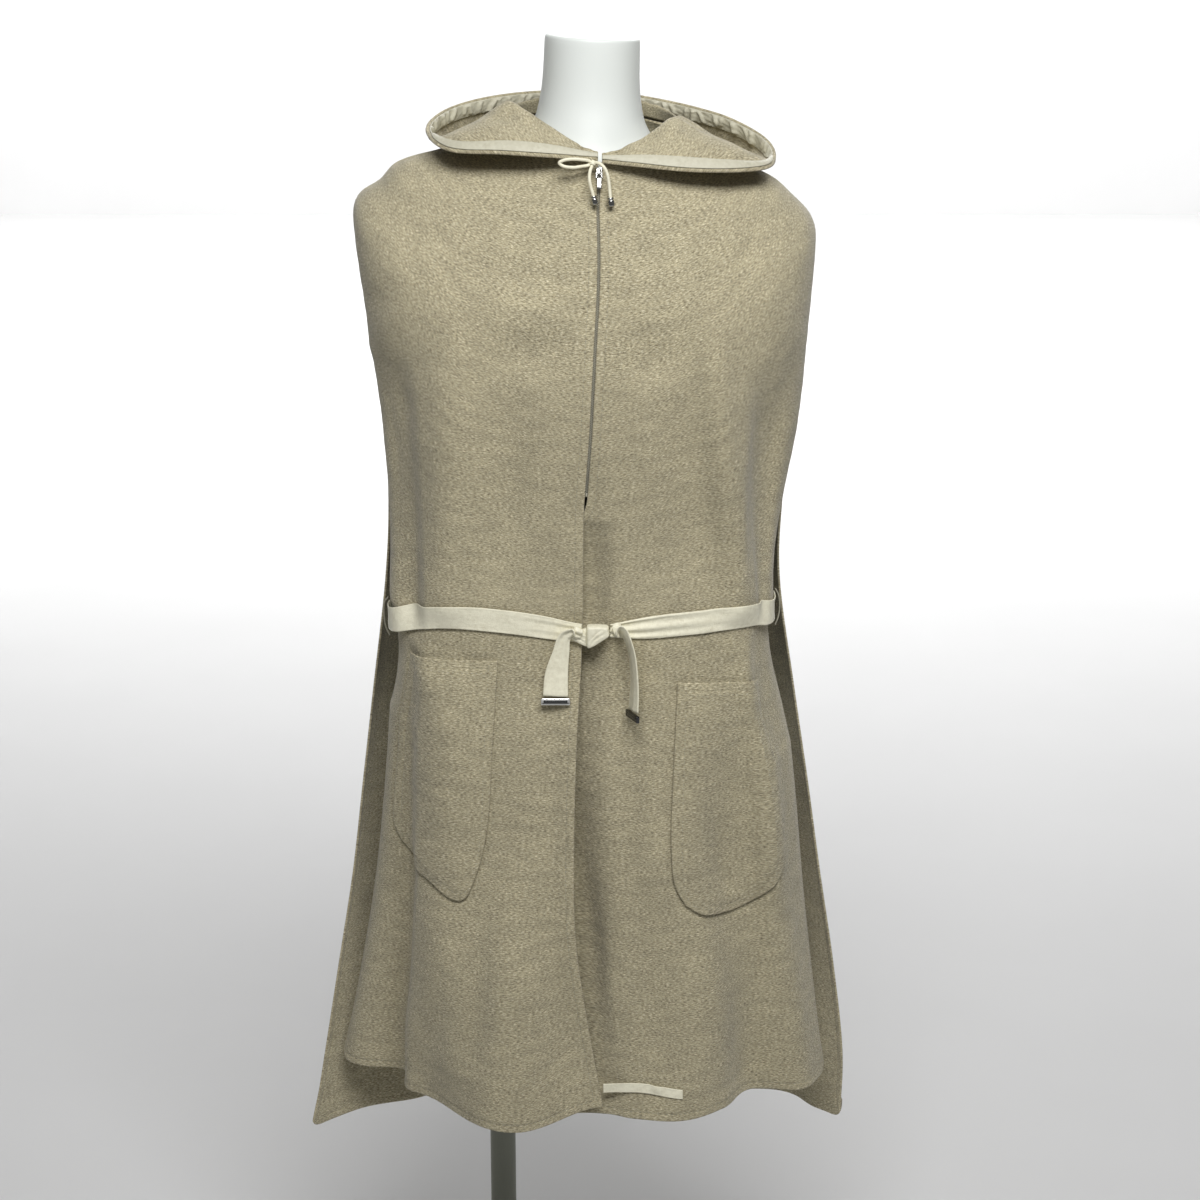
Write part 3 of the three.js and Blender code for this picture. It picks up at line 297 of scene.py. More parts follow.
# Front paths of the belt's middle line, from the knot to the side edge.
BELT_PATH = {
    RIGHT: table("x z", [(0, 902), (-16, 904), (-38, 908), (-62, 911.5), (-91, 914), (-129, 915),
                         (-149, 912), (-165, 906), (-185, 899), (-198, 893)]),
    LEFT: table("x z", [(23, 902), (41, 904.5), (62, 907), (90, 909), (114, 910), (143, 912),
                        (153, 912), (164, 910.5), (173, 907), (189, 903)]),
}
BELT_BACK = [(-196, -37.8, 894), (-178, 20, 892), (-146, 62, 890), (-90, 88, 891), (-30, 93.5, 892),
             (30, 93.5, 893), (90, 88, 894), (144, 62, 897), (172, 20, 900), (187.6, -37.9, 903)]
# The tied ends: middle line, distance out from the cloth, half width and twist, in degrees.
BELT_TAILS = {
    RIGHT: table("x z out half twist", [
        (-2.8, 904, 9, 4.5, 10), (-12, 906, 11, 6, 12), (-20, 900, 10, 6.5, 10), (-23, 886, 9, 8, 4),
        (-27.4, 864, 8, 11, 0), (-28.5, 843, 8, 12, 0)]),
    LEFT: table("x z out half twist", [
        (26.5, 905.5, 8, 4.5, -20), (33, 908, 11, 9, -40), (39, 900, 13, 10, -62), (44, 882, 13, 11, -70),
        (46, 855, 14, 11.5, -70), (45, 829, 14.5, 11.5, -66)]),
}
BELT_TIP = {RIGHT: 28, LEFT: 26}
BELT_TIP_HEIGHT = 7
# The knot's two bodies: outline in x and z round a middle, the middle's shift, and rings of place and size.
KNOT_SEAT = 2.2
KNOT_BODIES = [
    ([(10, 9), (0, 9.8), (-10.7, 9.5), (-11, 0), (-10.6, -13.5), (-4, -10.5), (1.5, -7.0), (7, -3.2),
      (11.4, 0)],
     (0, 0), (1.2, 2.6, 6, 9.5, 11.6, 12.9, 13.5, 14.0, 14.2),
     (0.80, 0.96, 1.0, 0.99, 0.96, 0.90, 0.80, 0.45, 0.02)),
    ([(7, 9), (-3, 6.6), (-9, 3.5), (-12, -1.5), (-3, -6.5), (5.0, -10.3), (7, -6)],
     (-15.5, -2.6), (1.0, 2.0, 4.6, 6.2, 7.2, 7.9, 8.1), (0.80, 0.95, 1.0, 0.95, 0.85, 0.5, 0.02)),
]
KNOT_FOLDS = [
    (-9, -12, 9, 4, 2.5, 2.2, -0.7), (-9, -6, 6, 8, 1.5, 1.8, -0.5), (-24, -3, -11, -9, 1, 1.8, -0.9),
    (-22, 0, -10, -2, 1, 1.6, 0.6),
]
# The zip's slider and its pull, as boxes round the slider's middle: sizes, then places.
SLIDER_BOXES = [(6.4, 2.2, 10, 0, -1.9, 0), (1.4, 3.4, 8, 0, 0.4, 0), (2.4, 2.6, 1.4, 0, -4.2, 3.6),
                (2.4, 2.6, 1.4, 0, -4.2, -2.6), (2.4, 1.2, 7.6, 0, -5.9, 0.5)]
PULL_BOXES = [(5.8, 1.1, 1.2, 0, -4.15, -0.9), (1.3, 1.1, 6.6, -2.5, -4.15, -3.6),
              (1.3, 1.1, 6.6, 2.5, -4.15, -3.6), (4.4, 1.1, 10.5, 0, -4.15, -11)]
SLIDER_PLACE = (13.2, -79.2, 1331)
SLIDER_TILT = -20
TOOTH_PITCH = 0.85
# Lengthwise folds of the belt near its knot: place across, from -1 to 1, half width and height.
BELT_FOLDS = {
    RIGHT: [(0.30, 0.20, -0.8), (0.62, 0.30, 0.8), (-0.25, 0.30, 0.9), (-0.62, 0.20, -0.5)],
    LEFT: [(0.86, 0.16, 0.9), (0.50, 0.34, -1.7), (-0.02, 0.34, 1.9), (-0.48, 0.26, -1.2),
           (-0.80, 0.18, 0.7)],
}
# Where the belt starts, how far the knot gathers it, by how much, and how far that moves it up
BELT_GATHER = {RIGHT: (-1.5, 90, 0.28, 0.5), LEFT: (23, 140, 0.50, 3.0)}
BELT_LOOPS = {
    RIGHT: [(-194.4, -44, 912), (-198.5, -42, 906), (-199.6, -40, 893), (-198, -40, 880), (-193.8, -43, 872)],
    LEFT: [(186.5, -42, 920), (189.5, -42, 914), (191.3, -40, 903), (190.3, -40, 891), (187, -43, 883)],
}

# Outlines of the patch pockets in x and z: each side line runs down, top and bottom lines run outwards.
POCKETS = {
    RIGHT: dict(inner=[(-83.5, 874.5), (-89, 790), (-95, 706), (-103, 668), (-111, 645)],
                outer=[(-173, 871), (-186, 755), (-191, 705), (-192, 682), (-185, 664)],
                bottom=[(-111, 645), (-117, 633), (-123, 628.5), (-133, 630), (-143, 636), (-155, 643),
                        (-170, 650), (-185, 664)]),
    LEFT: dict(inner=[(88, 852), (84, 760), (83, 680), (86.9, 648), (97.8, 625)],
               outer=[(170, 846), (183, 760), (193, 680), (193.4, 652), (184.8, 630.5)],
               bottom=[(97.8, 625), (115.4, 611), (140, 606), (166.9, 615), (184.8, 630.5)]),
}
POCKET_HEM = 11.0
POCKET_DENT, POCKET_DENT_REACH = 1.5, 5
HEM_TAB = table("x z", [(17, 428.5), (40, 429.5), (62, 429), (97, 424.5)])

# Drawstring routes in metres, given from the knot outwards.
BOW_KNOT = (0.0070, -0.0863, 1.3408)
# Turns of cord in the bow's knot: tilt, size and shift, in radians and millimetres
BOW_TURNS = ((0.5, 2.1, 0.3), (-0.55, 2.0, 0.6), (1.45, 1.8, -0.3))
LOOP_ROUTE = [
    (0.0052, -0.0866, 1.3420), (0.0038, -0.0869, 1.3428), (-0.0030, -0.0900, 1.3443),
    (-0.0120, -0.0918, 1.3449), (-0.0200, -0.0922, 1.3437), (-0.0235, -0.0920, 1.3415),
    (-0.0200, -0.0920, 1.3387), (-0.0110, -0.0916, 1.3373), (-0.0030, -0.0900, 1.3380),
    (0.0038, -0.0869, 1.3389), (0.0052, -0.0866, 1.3397),
]
END_ROUTES = {
    RIGHT: [(0.0068, -0.0868, 1.3395), (0.0064, -0.0877, 1.3378), (0.0050, -0.0902, 1.3342),
            (0.0042, -0.0920, 1.3277), (0.0052, -0.0930, 1.3212), (0.0068, -0.0932, 1.3157),
            (0.0079, -0.0936, 1.3117), (0.0090, -0.0940, 1.3077)],
    LEFT: [(0.0085, -0.0865, 1.3410), (0.0105, -0.0867, 1.3411), (0.0150, -0.0900, 1.3398),
           (0.0186, -0.0922, 1.3362), (0.0210, -0.0932, 1.3302), (0.0222, -0.0934, 1.3232),
           (0.0230, -0.0936, 1.3162), (0.0236, -0.0940, 1.3102), (0.0242, -0.0944, 1.3062)],
}

# The photograph's camera: a 75 mm lens on a 36 mm sensor
CAMERA_PLACE = (0.014, -2.400, 1.623)
CAMERA_PITCH = 16.87
CAMERA_LENS = 75
CAMERA_SENSOR = 36

# Studio: place, aim, size and power of each lamp, and the floor and the backdrop by their corners
LAMPS = {
    "key": ((0.22, -1.70, 2.9), (0, 0, 1.12), (1.5, 0.9), 67),
    "rear": ((0.6, 2.4, 2.7), (0, 0, 1.0), (1.6, 1.0), 26),
    "behind": ((0, 4.5, 4.6), (0, 8.0, 1.0), (12, 4), 820),
}
WORLD_STRENGTH = 0.13
STUDIO = {
    "floor": [(-30, -30, 0), (30, -30, 0), (30, 30, 0), (-30, 30, 0)],
    "backdrop": [(-30, 9, 0), (30, 9, 0), (30, 9, 12), (-30, 9, 12)],
}


# Numbers

def read(rows, key, column, at):
    """A smooth curve through one column of a table, read against another column that grows."""
    at = np.asarray(at, float)
    x, y = rows[key], rows[column]
    slope = np.diff(y) / np.diff(x)
    tangent = np.concatenate([[slope[0]], (slope[1:] + slope[:-1]) / 2, [slope[-1]]])
    i = np.clip(np.searchsorted(x, at, side="left") - 1, 0, len(x) - 2)
    span = x[i + 1] - x[i]
    k = np.clip((at - x[i]) / span, 0, 1)
    a, b = y[i], y[i + 1]
    ta, tb = tangent[i] * span, tangent[i + 1] * span
    return a + k * ta + k * k * (3 * (b - a) - 2 * ta - tb) + k ** 3 * (2 * (a - b) + ta + tb)


def mix(a, b, k):
    return a + (b - a) * k


def smooth(k):
    k = np.clip(k, 0, 1)
    return k * k * (3 - 2 * k)


def bump(k):
    return np.where(np.abs(k) < 1, np.cos(np.clip(k, -1, 1) * math.pi / 2) ** 2, 0)


def unit(v):
    return v / np.maximum(np.linalg.norm(v, axis=-1, keepdims=True), 1e-12)


def stack(*parts):
    """Arrays as the coordinates of points."""
    return np.stack(np.broadcast_arrays(*parts), axis=-1).astype(float)


def run(points):
    """The length along lines of points."""
    steps = np.linalg.norm(np.diff(points, axis=-2), axis=-1)
    return np.concatenate([np.zeros(steps.shape[:-1] + (1,)), np.cumsum(steps, axis=-1)], axis=-1)


def at_length(values, length, at):
    """Values along a line, read at lengths along it."""
    return np.stack([np.interp(at, length, values[:, c]) for c in range(values.shape[1])], axis=-1)


def row_by_row(values, lengths, at):
    """The rows of a grid, each read at lengths along it."""
    return np.stack([at_length(*row) for row in zip(values, lengths, at)])


def from_ends(length, axis=-1):
    """How far places along lengths are from the nearer end."""
    first, last = (np.take(length, [k], axis) for k in (0, -1))
    return np.minimum(length - first, last - length)


def from_edges(length, across, half_width):
    """How far places on a strip are from its nearest edge."""
    return np.minimum(half_width - np.abs(across), from_ends(length)[:, None])


def turned(points, angle, first, second):
    """Points turned by an angle from one axis towards another."""
    c, s = math.cos(angle), math.sin(angle)
    points = np.array(points, float)
    points[:, [first, second]] = points[:, [first, second]] @ np.array([[c, s], [-s, c]])
    return points


def circle(way, sides):
    """Directions all round a way, or round each of the ways along a line."""
    side = unit(np.cross(way, [0.31, 0.2, 0.93]))
    other = np.cross(way, side)
    turn = np.linspace(0, 2 * math.pi, sides, endpoint=False)[:, None]
    return side[..., None, :] * np.cos(turn) + other[..., None, :] * np.sin(turn)


def spread(length, inner, edge):
    """Places along a length: close together near both ends, even between them."""
    edge = np.array(edge, float)
    middle = np.linspace(edge[-1], length - edge[-1], inner + 2)[1:-1]
    return np.concatenate([edge, middle, length - edge[::-1]])


def grid_normals(grid, outward):
    """Directions out of a grid of points. outward says which way is out at the grid's middle."""
    down = np.gradient(grid, axis=0)
    across = np.gradient(grid, axis=1)
    normals = unit(np.cross(across, down))
    middle = normals[normals.shape[0] // 2, normals.shape[1] // 2]
    return normals * np.sign(middle @ np.array(outward, float))


def wave(p, lengths, phase=0.0):
    """A soft uneven ripple: a few sine waves of unlike length and direction."""
    total = 0
    for i, length in enumerate(lengths):
        turn = phase + i * 2.4
        way = np.array([math.cos(turn), math.sin(turn * 1.7), math.sin(turn)])
        total = total + np.sin(p @ way * (2 * math.pi / length) + turn * 3.1)
    return total / len(lengths)


# Meshes

def mesh_piece(name, points, faces, material, slot, cad=None, uv=None, body="garment"):
    """A smooth-shaded piece from points in millimetres and faces."""
    mesh = bpy.data.meshes.new(name)
    mesh.from_pydata((np.asarray(points, float) * MM).tolist(), [], [tuple(map(int, f)) for f in faces])
    mesh.update()
    if uv is not None:
        layer = mesh.uv_layers.new(name="UVMap")
        index = np.empty(len(mesh.loops), int)
        mesh.loops.foreach_get("vertex_index", index)
        layer.data.foreach_set("uv", (np.asarray(uv, float)[index] * MM).ravel())
    mesh.polygons.foreach_set("use_smooth", [True] * len(mesh.polygons))
    mesh.materials.append(material)
    return placed(bpy.data.objects.new(name, mesh), cad, body)


def placed(piece, cad=None, body="garment"):
    """A piece put into the scene, on its body, in place of the CAD node that cad names."""
    bpy.context.scene.collection.objects.link(piece)
    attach(piece, body)
    if cad:
        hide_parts(cad)
    return piece


def quads(number):
    """The cells of a grid of numbered points."""
    corners = (number[:-1, :-1], number[:-1, 1:], number[1:, 1:], number[1:, :-1])
    return np.stack(corners, axis=-1).reshape(-1, 4)


def turn_out(points, faces):
    """Faces turned so that the closed body's volume is positive."""
    points = np.asarray(points, float)
    fans = np.array([(f[0], f[k], f[k + 1]) for f in faces for k in range(1, len(f) - 1)])
    a, b, c = (points[fans[:, k]] for k in range(3))
    volume = np.einsum("ij,ij->i", a, np.cross(b, c)).sum()
    return faces if volume > 0 else [f[::-1] for f in faces]


def rounded(distance, thick):
    """Half the thickness of cloth at a distance from its edge, which is rounded off."""
    k = 1 - np.clip(distance / (thick * 0.75), 0, 1)
    return thick / 2 * np.sqrt(np.clip(1 - k * k, 0, 1))


def groove(distance, at=STITCH_INSET, depth=0.45):
    """How far a row of stitches pulls the cloth in."""
    return depth * bump((distance - at) / 1.1)


def tube(route, radius, sides, rings):
    """A round tube along a smooth route, in millimetres."""
    line = smooth_line(route, rings)
    points = line[:, None] + circle(unit(np.gradient(line, axis=0)), sides) * radius
    return loft_faces(points, rings, sides)


def smooth_line(route, count):
    """Points evenly spaced along a smooth curve through a route."""
    route = np.asarray(route, float)
    steps = run(route)
    at = np.linspace(0, steps[-1], count)
    return stack(*(read({"at": steps, "value": column}, "at", "value", at) for column in route.T))


def loft_faces(points, rings, sides):
    """A closed body through rings of points that follow each other, capped at both ends."""
    points = np.asarray(points, float).reshape(-1, 3)
    faces = []
    for i in range(rings - 1):
        for j in range(sides):
            k = (j + 1) % sides
            faces.append((i * sides + j, i * sides + k, (i + 1) * sides + k, (i + 1) * sides + j))
    faces.append(tuple(range(sides))[::-1])
    faces.append(tuple((rings - 1) * sides + j for j in range(sides)))
    return points, turn_out(points, faces)


def joined(parts):
    """Several bodies as one list of points and one list of faces."""
    points, faces, start = [], [], 0
    for some, sides in parts:
        points.append(np.asarray(some, float))
        faces.extend(tuple(int(k) + start for k in f) for f in sides)
        start += len(some)
    return np.concatenate(points), faces


# The cloth's form

def quarter(u, full):
    """The quarter superellipse between a middle and an edge: how far across, and what depth is left."""
    a = np.clip(np.sin(u * math.pi / 2), 0, 1)
    b = np.clip(np.cos(u * math.pi / 2), 0, 1)
    size = (a ** full + b ** full) ** (1 / full)
    return a / size, b / size


def fold_depth(folds, side, share, z):
    depth = np.zeros(np.broadcast(share, z).shape)
    for fold_side, z_top, z_low, *ends, fade_top, fade_low in folds:
        if fold_side != side:
            continue
        near = (z <= z_top + 1) & (z >= z_low - 40)
        down = np.clip((z_top - z) / (z_top - z_low), 0, 1)
        fade = smooth((z_top - z) / fade_top) * (smooth((z - z_low) / fade_low) if fade_low else 1)
        place, wide, deep = (mix(ends[i], ends[i + 1], down) for i in (0, 2, 4))
        depth = depth + near * deep * fade * bump((share - place) / wide)
    return depth


def beside(line, x, z):
    """How far along a bowed line points lie, from 0 to 1, and how far to its side."""
    x1, z1, x2, z2, bow = line
    way = np.array([x2 - x1, z2 - z1], float)
    length = np.linalg.norm(way)
    way /= length
    part = np.clip(((x - x1) * way[0] + (z - z1) * way[1]) / length, 0, 1)
    return part, (x - x1) * -way[1] + (z - z1) * way[0] - bow * np.sin(math.pi * part)


def crease_depth(creases, p):
    """How far the small creases move the cloth out at points."""
    depth = np.zeros(p.shape[:-1])
    for *line, half, deep in creases:
        part, off = beside(line, p[..., 0], p[..., 2])
        depth += deep * np.sin(math.pi * part) ** 0.8 * bump(off / half / CREASE_REACH)
    return depth


def round_neck(side, angle, radius, height):
    """A point on the neckline or the hood, from the neck's middle, at an angle from the front."""
    turn = np.radians(angle)
    x = NECK_X + NECK_SKEW * np.clip(np.cos(turn), 0, 1) ** 2 + side * radius * np.sin(turn)
    return stack(x, NECK_Y - radius * np.cos(turn), height + LEAN * (NECK_X - x))


def neckline(side, angle):
    rows = HOOD[side]
    return round_neck(side, angle, read(rows, "angle", "seamR", angle), read(rows, "angle", "seamZ", angle))


def closure(side, z):
    """How far a front's inner edge lies from the closure: the left front reaches under the right one."""
    opened = smooth((ZIP_BOTTOM - z) / UNDERLAP_START)
    below = side * ZIP_HALF_GAP * (1 - opened) if side == RIGHT else mix(ZIP_HALF_GAP, -UNDERLAP, opened)
    return np.where(z > ZIP_BOTTOM, side * ZIP_HALF_GAP, below)


def with_neck(p, v, top):
    """The rows above the first of the table lead up to the neckline."""
    return np.where((v >= 1)[..., None], p, mix(top, p, np.clip(v, 0, 1)[..., None]))


def front_face(side, u, v):
    """The outer face of a front: v is 0 at the neckline, 1 in the first row of the table and so on."""
    u, v = np.broadcast_arrays(np.asarray(u, float), np.asarray(v, float))
    name = WORD[side].capitalize()
    row = lambda column: read(FRONT, "index", column, np.maximum(0, v - 1))
    across, left = quarter(u, row("full"))
    z_mid, x_mid, y_mid, x_end, y_end = (row(c) for c in ("zMid", "xMid", "yMid", f"x{name}", f"y{name}"))
    z = mix(z_mid, row(f"z{name}"), across ** 2)
    x = mix(x_mid + closure(side, z_mid), x_end, across)
    y = mix(y_end, y_mid, left)
    share = (x - x_mid) / (x_end - x_mid)
    depth = fold_depth(FRONT_FOLDS, side, share, z)
    normal = unit(stack(side * across / np.abs(x_end - x_mid), -left / (y_end - y_mid), 0))
    p = stack(x, y, z) + normal * depth[..., None]
    if side == LEFT:
        sunk = smooth((ZIP_BOTTOM + SINK_START - z) / SINK_START)
        p[..., 1] += sunk * (WOOL + SINK_GAP) * (1 - smooth((p[..., 0] - x_mid) / SINK_WIDTH - 0.1))
    else:
        p[..., 2] += CORNER_LIFT * smooth((v - FRONT_ROWS + 2.2) / 2.2) * (1 - smooth(share / 0.3))
    corner = np.clip((u - 1) / FRONT_CORNER + 1, 0, 1)
    p[..., 2] += smooth((v - FRONT_ROWS + 0.6) / 0.6) * HEM_CORNER * (1 - np.sqrt(1 - corner ** 2))
    return with_neck(p, v, neckline(side, mix(CLOSURE_ANGLE, SHOULDER_ANGLE, u)))


def back_half(side, u, v):
    name = WORD[side].capitalize()
    row = lambda column: read(BACK, "index", column, np.maximum(0, v - 1))
    across, left = quarter(u, row("full"))
    x_end, y_end, y_mid = row(f"x{name}"), row(f"y{name}"), row("yMid")
    z = mix(row("zMid"), row(f"z{name}"), across ** 2)
    normal = unit(stack(side * across / np.abs(x_end), left / (y_mid - y_end), 0))
    p = stack(x_end * across, mix(y_end, y_mid, left), z)
    p = p + normal * fold_depth(BACK_FOLDS, side, across, z)[..., None]
    corner = np.clip((u - 1) / BACK_CORNER + 1, 0, 1)
    p[..., 2] += smooth((v - BACK_ROWS + 0.6) / 0.6) * HEM_CORNER * (1 - np.sqrt(1 - corner ** 2))
    return with_neck(p, v, neckline(side, 180 - u * (180 - SHOULDER_ANGLE)))


def back_face(u, v):
    """The outer face of the back: u runs from -1 at the right edge to 1 at the left one."""
    u, v = np.broadcast_arrays(np.asarray(u, float), np.asarray(v, float))
    return np.where((u < 0)[..., None], back_half(RIGHT, np.abs(u), v), back_half(LEFT, np.abs(u), v))


def seam_pull(p, normals, face, u, v, seam_side):
    """Along the shoulder seam both panels share one edge direction, square to the seam."""
    near = smooth((np.abs(u) - 0.8) / 0.2) * smooth((SEAM_ROWS + 0.6 - v) / 0.6)
    end = np.sign(u) if seam_side > 0 else 1
    down = face(end, v + 0.05) - face(end, np.maximum(0, v - 0.05))
    seam = stack(-down[..., 2], 0, down[..., 0])
    seam = unit(seam * np.where(seam[..., 2:] < 0, -1, 1))
    p = p + near[..., None] * np.array([0, seam_side * SEAM_GAP, 0])
    return p, unit(mix(normals, seam, near[..., None]))


# Distances from an edge of a panel at which its grid has lines, and lengths of the cloth's own ripples
EDGE = (0, 0.25, 0.7, 1.3, 2.2, 3.6, 5.4, 6.8, 7.5, 8.0, 8.5, 9.3, 11.5)
CLOTH_WAVES = (61, 37, 23)


def panel(face, u_ends, v_end, columns, rows, creases, outward, seam_side, dents=()):
    """A wool panel as a fine grid: middle points, directions out, half thickness and flat places."""
    v_fine = np.linspace(0, v_end, 500)
    length_down = run(face(mix(*u_ends, 0.5), v_fine))
    places_down = spread(length_down[-1], rows, EDGE)
    v = np.interp(places_down, length_down, v_fine)
    u_fine = np.linspace(*u_ends, 400)
    fine = face(u_fine[None, :], v[:, None])
    length = run(fine)
    u = np.empty((len(v), columns + 2 * len(EDGE)))
    places = np.empty_like(u)
    for i, row in enumerate(length):
        places[i] = spread(row[-1], columns, EDGE)
        u[i] = np.interp(places[i], row, u_fine)
    v = np.repeat(v[:, None], u.shape[1], axis=1)
    p = face(u, v)
    normals = grid_normals(p, outward)
    p, normals = seam_pull(p, normals, face, u, v, seam_side)
    distance = np.minimum(from_ends(places), (length_down[-1] - places_down)[:, None])
    calm = smooth(distance / 14)
    depth = crease_depth(creases, p) + 0.35 * wave(p, CLOTH_WAVES) * calm
    for line in dents:
        depth = depth - POCKET_DENT * bump(distance_to(line, p[..., [0, 2]]) / POCKET_DENT_REACH)
    p = p + normals * depth[..., None]
    half = rounded(distance, WOOL) - groove(distance) * (v > 0.6)
    half = np.where(places_down[:, None] < 1e-6, 0, half)
    uv = stack(places - places[:, -1:] / 2, -places_down[:, None])
    return dict(mid=p - normals * WOOL / 2, normals=normals, half=np.maximum(half, 0), uv=uv, outer=p,
                down=places_down)


def hood_grid(side, angles, rows):
    """The hood's visible inner face: points by angle and by place along the section, and the lengths."""
    points = np.stack([stack(*(read(HOOD[side], "angle", name + axis, angles) for axis in "RZ"))
                       for name in HOOD_POINTS], axis=1)
    ends = [2 * points[:, :1] - points[:, 1:2], points, 2 * points[:, -1:] - points[:, -2:-1]]
    points = np.concatenate(ends, axis=1)
    k = np.linspace(0, 1, 40, endpoint=False)[None, :, None]
    pieces = []
    for i in range(1, 5):
        p0, p1, p2, p3 = (points[:, j:j + 1] for j in range(i - 1, i + 3))
        t0, t1 = (p2 - p0) / 2, (p3 - p1) / 2
        rise = (3 * (p2 - p1) - 2 * t0 - t1) * k ** 2
        pieces.append(p1 + t0 * k + rise + (2 * (p1 - p2) + t0 + t1) * k ** 3)
    curve = np.concatenate(pieces + [points[:, 5:6]], axis=1)
    length = run(curve)
    total = length[:, -1:]
    strip = np.minimum(BINDING_WIDTH, total * 0.45)
    places = HOOD_FOOT + (total - HOOD_FOOT) * rows
    section = row_by_row(curve, length, places)
    grid = round_neck(side, angles[:, None], section[..., 0], section[..., 1])
    return grid, places, total, strip


# Materials

def shader(name, **values):
    """A material, its node tree and its Principled shader, with constant values set on its sockets."""
    material = bpy.data.materials.new(name)
    material.use_nodes = True
    tree = material.node_tree
    principled = tree.nodes["Principled BSDF"]
    for key, value in values.items():
        principled.inputs[key.replace("_", " ")].default_value = value
    return material, tree, principled


def feed(tree, made, inputs):
    """Constant values set on a node's inputs, and other nodes' outputs linked to them."""
    for key, value in inputs.items():
        if isinstance(value, bpy.types.NodeSocket):
            tree.links.new(value, made.inputs[key])
        else:
            made.inputs[key].default_value = value


def node(tree, kind, inputs, **settings):
    made = tree.nodes.new(kind)
    for key, value in settings.items():
        setattr(made, key, value)
    feed(tree, made, inputs)
    return made


def object_place(tree):
    return node(tree, "ShaderNodeTexCoord", {}).outputs["Object"]


def flat_place(tree):
    return node(tree, "ShaderNodeUVMap", {}, uv_map="UVMap").outputs["UV"]


def ramp(tree, factor, stops):
    made = node(tree, "ShaderNodeValToRGB", {"Fac": factor})
    elements = made.color_ramp.elements
    while len(elements) < len(stops):
        elements.new(0.5)
    for element, (place, colour) in zip(elements, stops):
        element.position = place
        element.color = (*colour, 1)
    return made.outputs["Color"]


def noise(tree, vector, scale, detail=2.0, roughness=0.5):
    inputs = {"Vector": vector, "Scale": scale, "Detail": detail, "Roughness": roughness}
    return node(tree, "ShaderNodeTexNoise", inputs).outputs["Fac"]


def stretched(tree, vector, scale):
    return node(tree, "ShaderNodeMapping", {"Vector": vector, "Scale": scale}).outputs["Vector"]


def blended(tree, factor, a, b, mode="MIX"):
    return node(tree, "ShaderNodeMix", {0: factor, 6: a, 7: b}, data_type="RGBA", blend_type=mode).outputs[2]


def bumped(tree, principled, height, strength, distance):
    made = node(tree, "ShaderNodeBump", {"Height": height, "Strength": strength, "Distance": distance})
    feed(tree, principled, {"Normal": made.outputs["Normal"]})


def wool_material():
    """Felted melange wool: pale and dark flecks drawn out sideways, cloudy patches and a short nap."""
    material, tree, principled = shader("melange_wool", Roughness=0.92, Specular_IOR_Level=0.2,
                                        Sheen_Weight=0.22, Sheen_Roughness=0.55)
    uv = flat_place(tree)
    flat = stretched(tree, uv, (0.36, 1.1, 1.0))
    fleck = noise(tree, flat, 800, 4.0, 0.66)
    hairs = noise(tree, stretched(tree, uv, (0.28, 1.3, 1.0)), 1100, 2.0, 0.6)
    colour = ramp(tree, fleck, [(0.33, (0.190, 0.155, 0.094)), (0.46, (0.392, 0.346, 0.229)),
                                (0.56, (0.462, 0.415, 0.284)), (0.69, (0.690, 0.635, 0.475))])
    for factor, stops in (
            (hairs, [(0.36, (0.58, 0.58, 0.56)), (0.52, (1.0, 1.0, 1.0)), (0.68, (1.38, 1.38, 1.36))]),
            (noise(tree, flat, 95, 3.0, 0.55), [(0.32, (0.88, 0.88, 0.88)), (0.68, (1.10, 1.10, 1.09))]),
            (noise(tree, uv, 14, 2.0, 0.5), [(0.3, (0.96, 0.96, 0.96)), (0.7, (1.04, 1.04, 1.04))])):
        colour = blended(tree, 1.0, colour, ramp(tree, factor, stops), "MULTIPLY")
    feed(tree, principled, {"Base Color": colour})
    height = node(tree, "ShaderNodeMath", {0: fleck, 1: hairs}, operation="ADD").outputs[0]
    bumped(tree, principled, height, 0.55, 0.0006)
    return material


def leather_material(name, tint):
    """Soft cream leather: fine pores and small wrinkles, with painted shade darkening the wrinkles' hollows.
    """
    material, tree, principled = shader(name, Roughness=0.48)
    place = object_place(tree)
    pores = node(tree, "ShaderNodeTexVoronoi", {"Vector": place, "Scale": 1500.0}).outputs["Distance"]
    wrinkle = noise(tree, place, 260, 4.0, 0.6)
    cloud = noise(tree, place, 60, 3.0, 0.5)
    low, high = (tuple(tint * c for c in colour) for colour in ((0.60, 0.56, 0.41), (0.79, 0.76, 0.60)))
    # Painted shade: the wrinkle pattern that raises the bump also darkens the leather where it is low, in the
    # hollows.
    colour = ramp(tree, wrinkle, [(0.30, low), (0.62, high)])
    colour = blended(tree, cloud, colour, (*high, 1))
    rough = node(tree, "ShaderNodeMapRange", {"Value": cloud, "To Min": 0.40, "To Max": 0.58}).outputs[0]
    feed(tree, principled, {"Base Color": colour, "Roughness": rough})
    height = node(tree, "ShaderNodeMath", {0: wrinkle, 1: pores}, operation="ADD").outputs[0]
    crinkle = noise(tree, stretched(tree, place, (0.30, 1.0, 1.0)), 150, 3.0, 0.6)
    height = node(tree, "ShaderNodeMath", {0: crinkle, 1: 3.0, 2: height}, operation="MULTIPLY_ADD")
    bumped(tree, principled, height.outputs[0], 0.40, 0.0006)
    return material


def metal_material(name, colour, roughness):
    material, tree, principled = shader(name, Metallic=1.0, Roughness=roughness)
    place = object_place(tree)
    scratch = noise(tree, stretched(tree, place, (1.0, 1.0, 0.15)), 900, 3.0, 0.6)
    shade = ramp(tree, scratch, [(0.3, tuple(0.9 * c for c in colour)), (0.7, colour)])
    span = {"Value": scratch, "To Min": roughness * 0.8, "To Max": roughness * 1.4}
    rough = node(tree, "ShaderNodeMapRange", span).outputs[0]
    feed(tree, principled, {"Base Color": shade, "Roughness": rough})
    return material


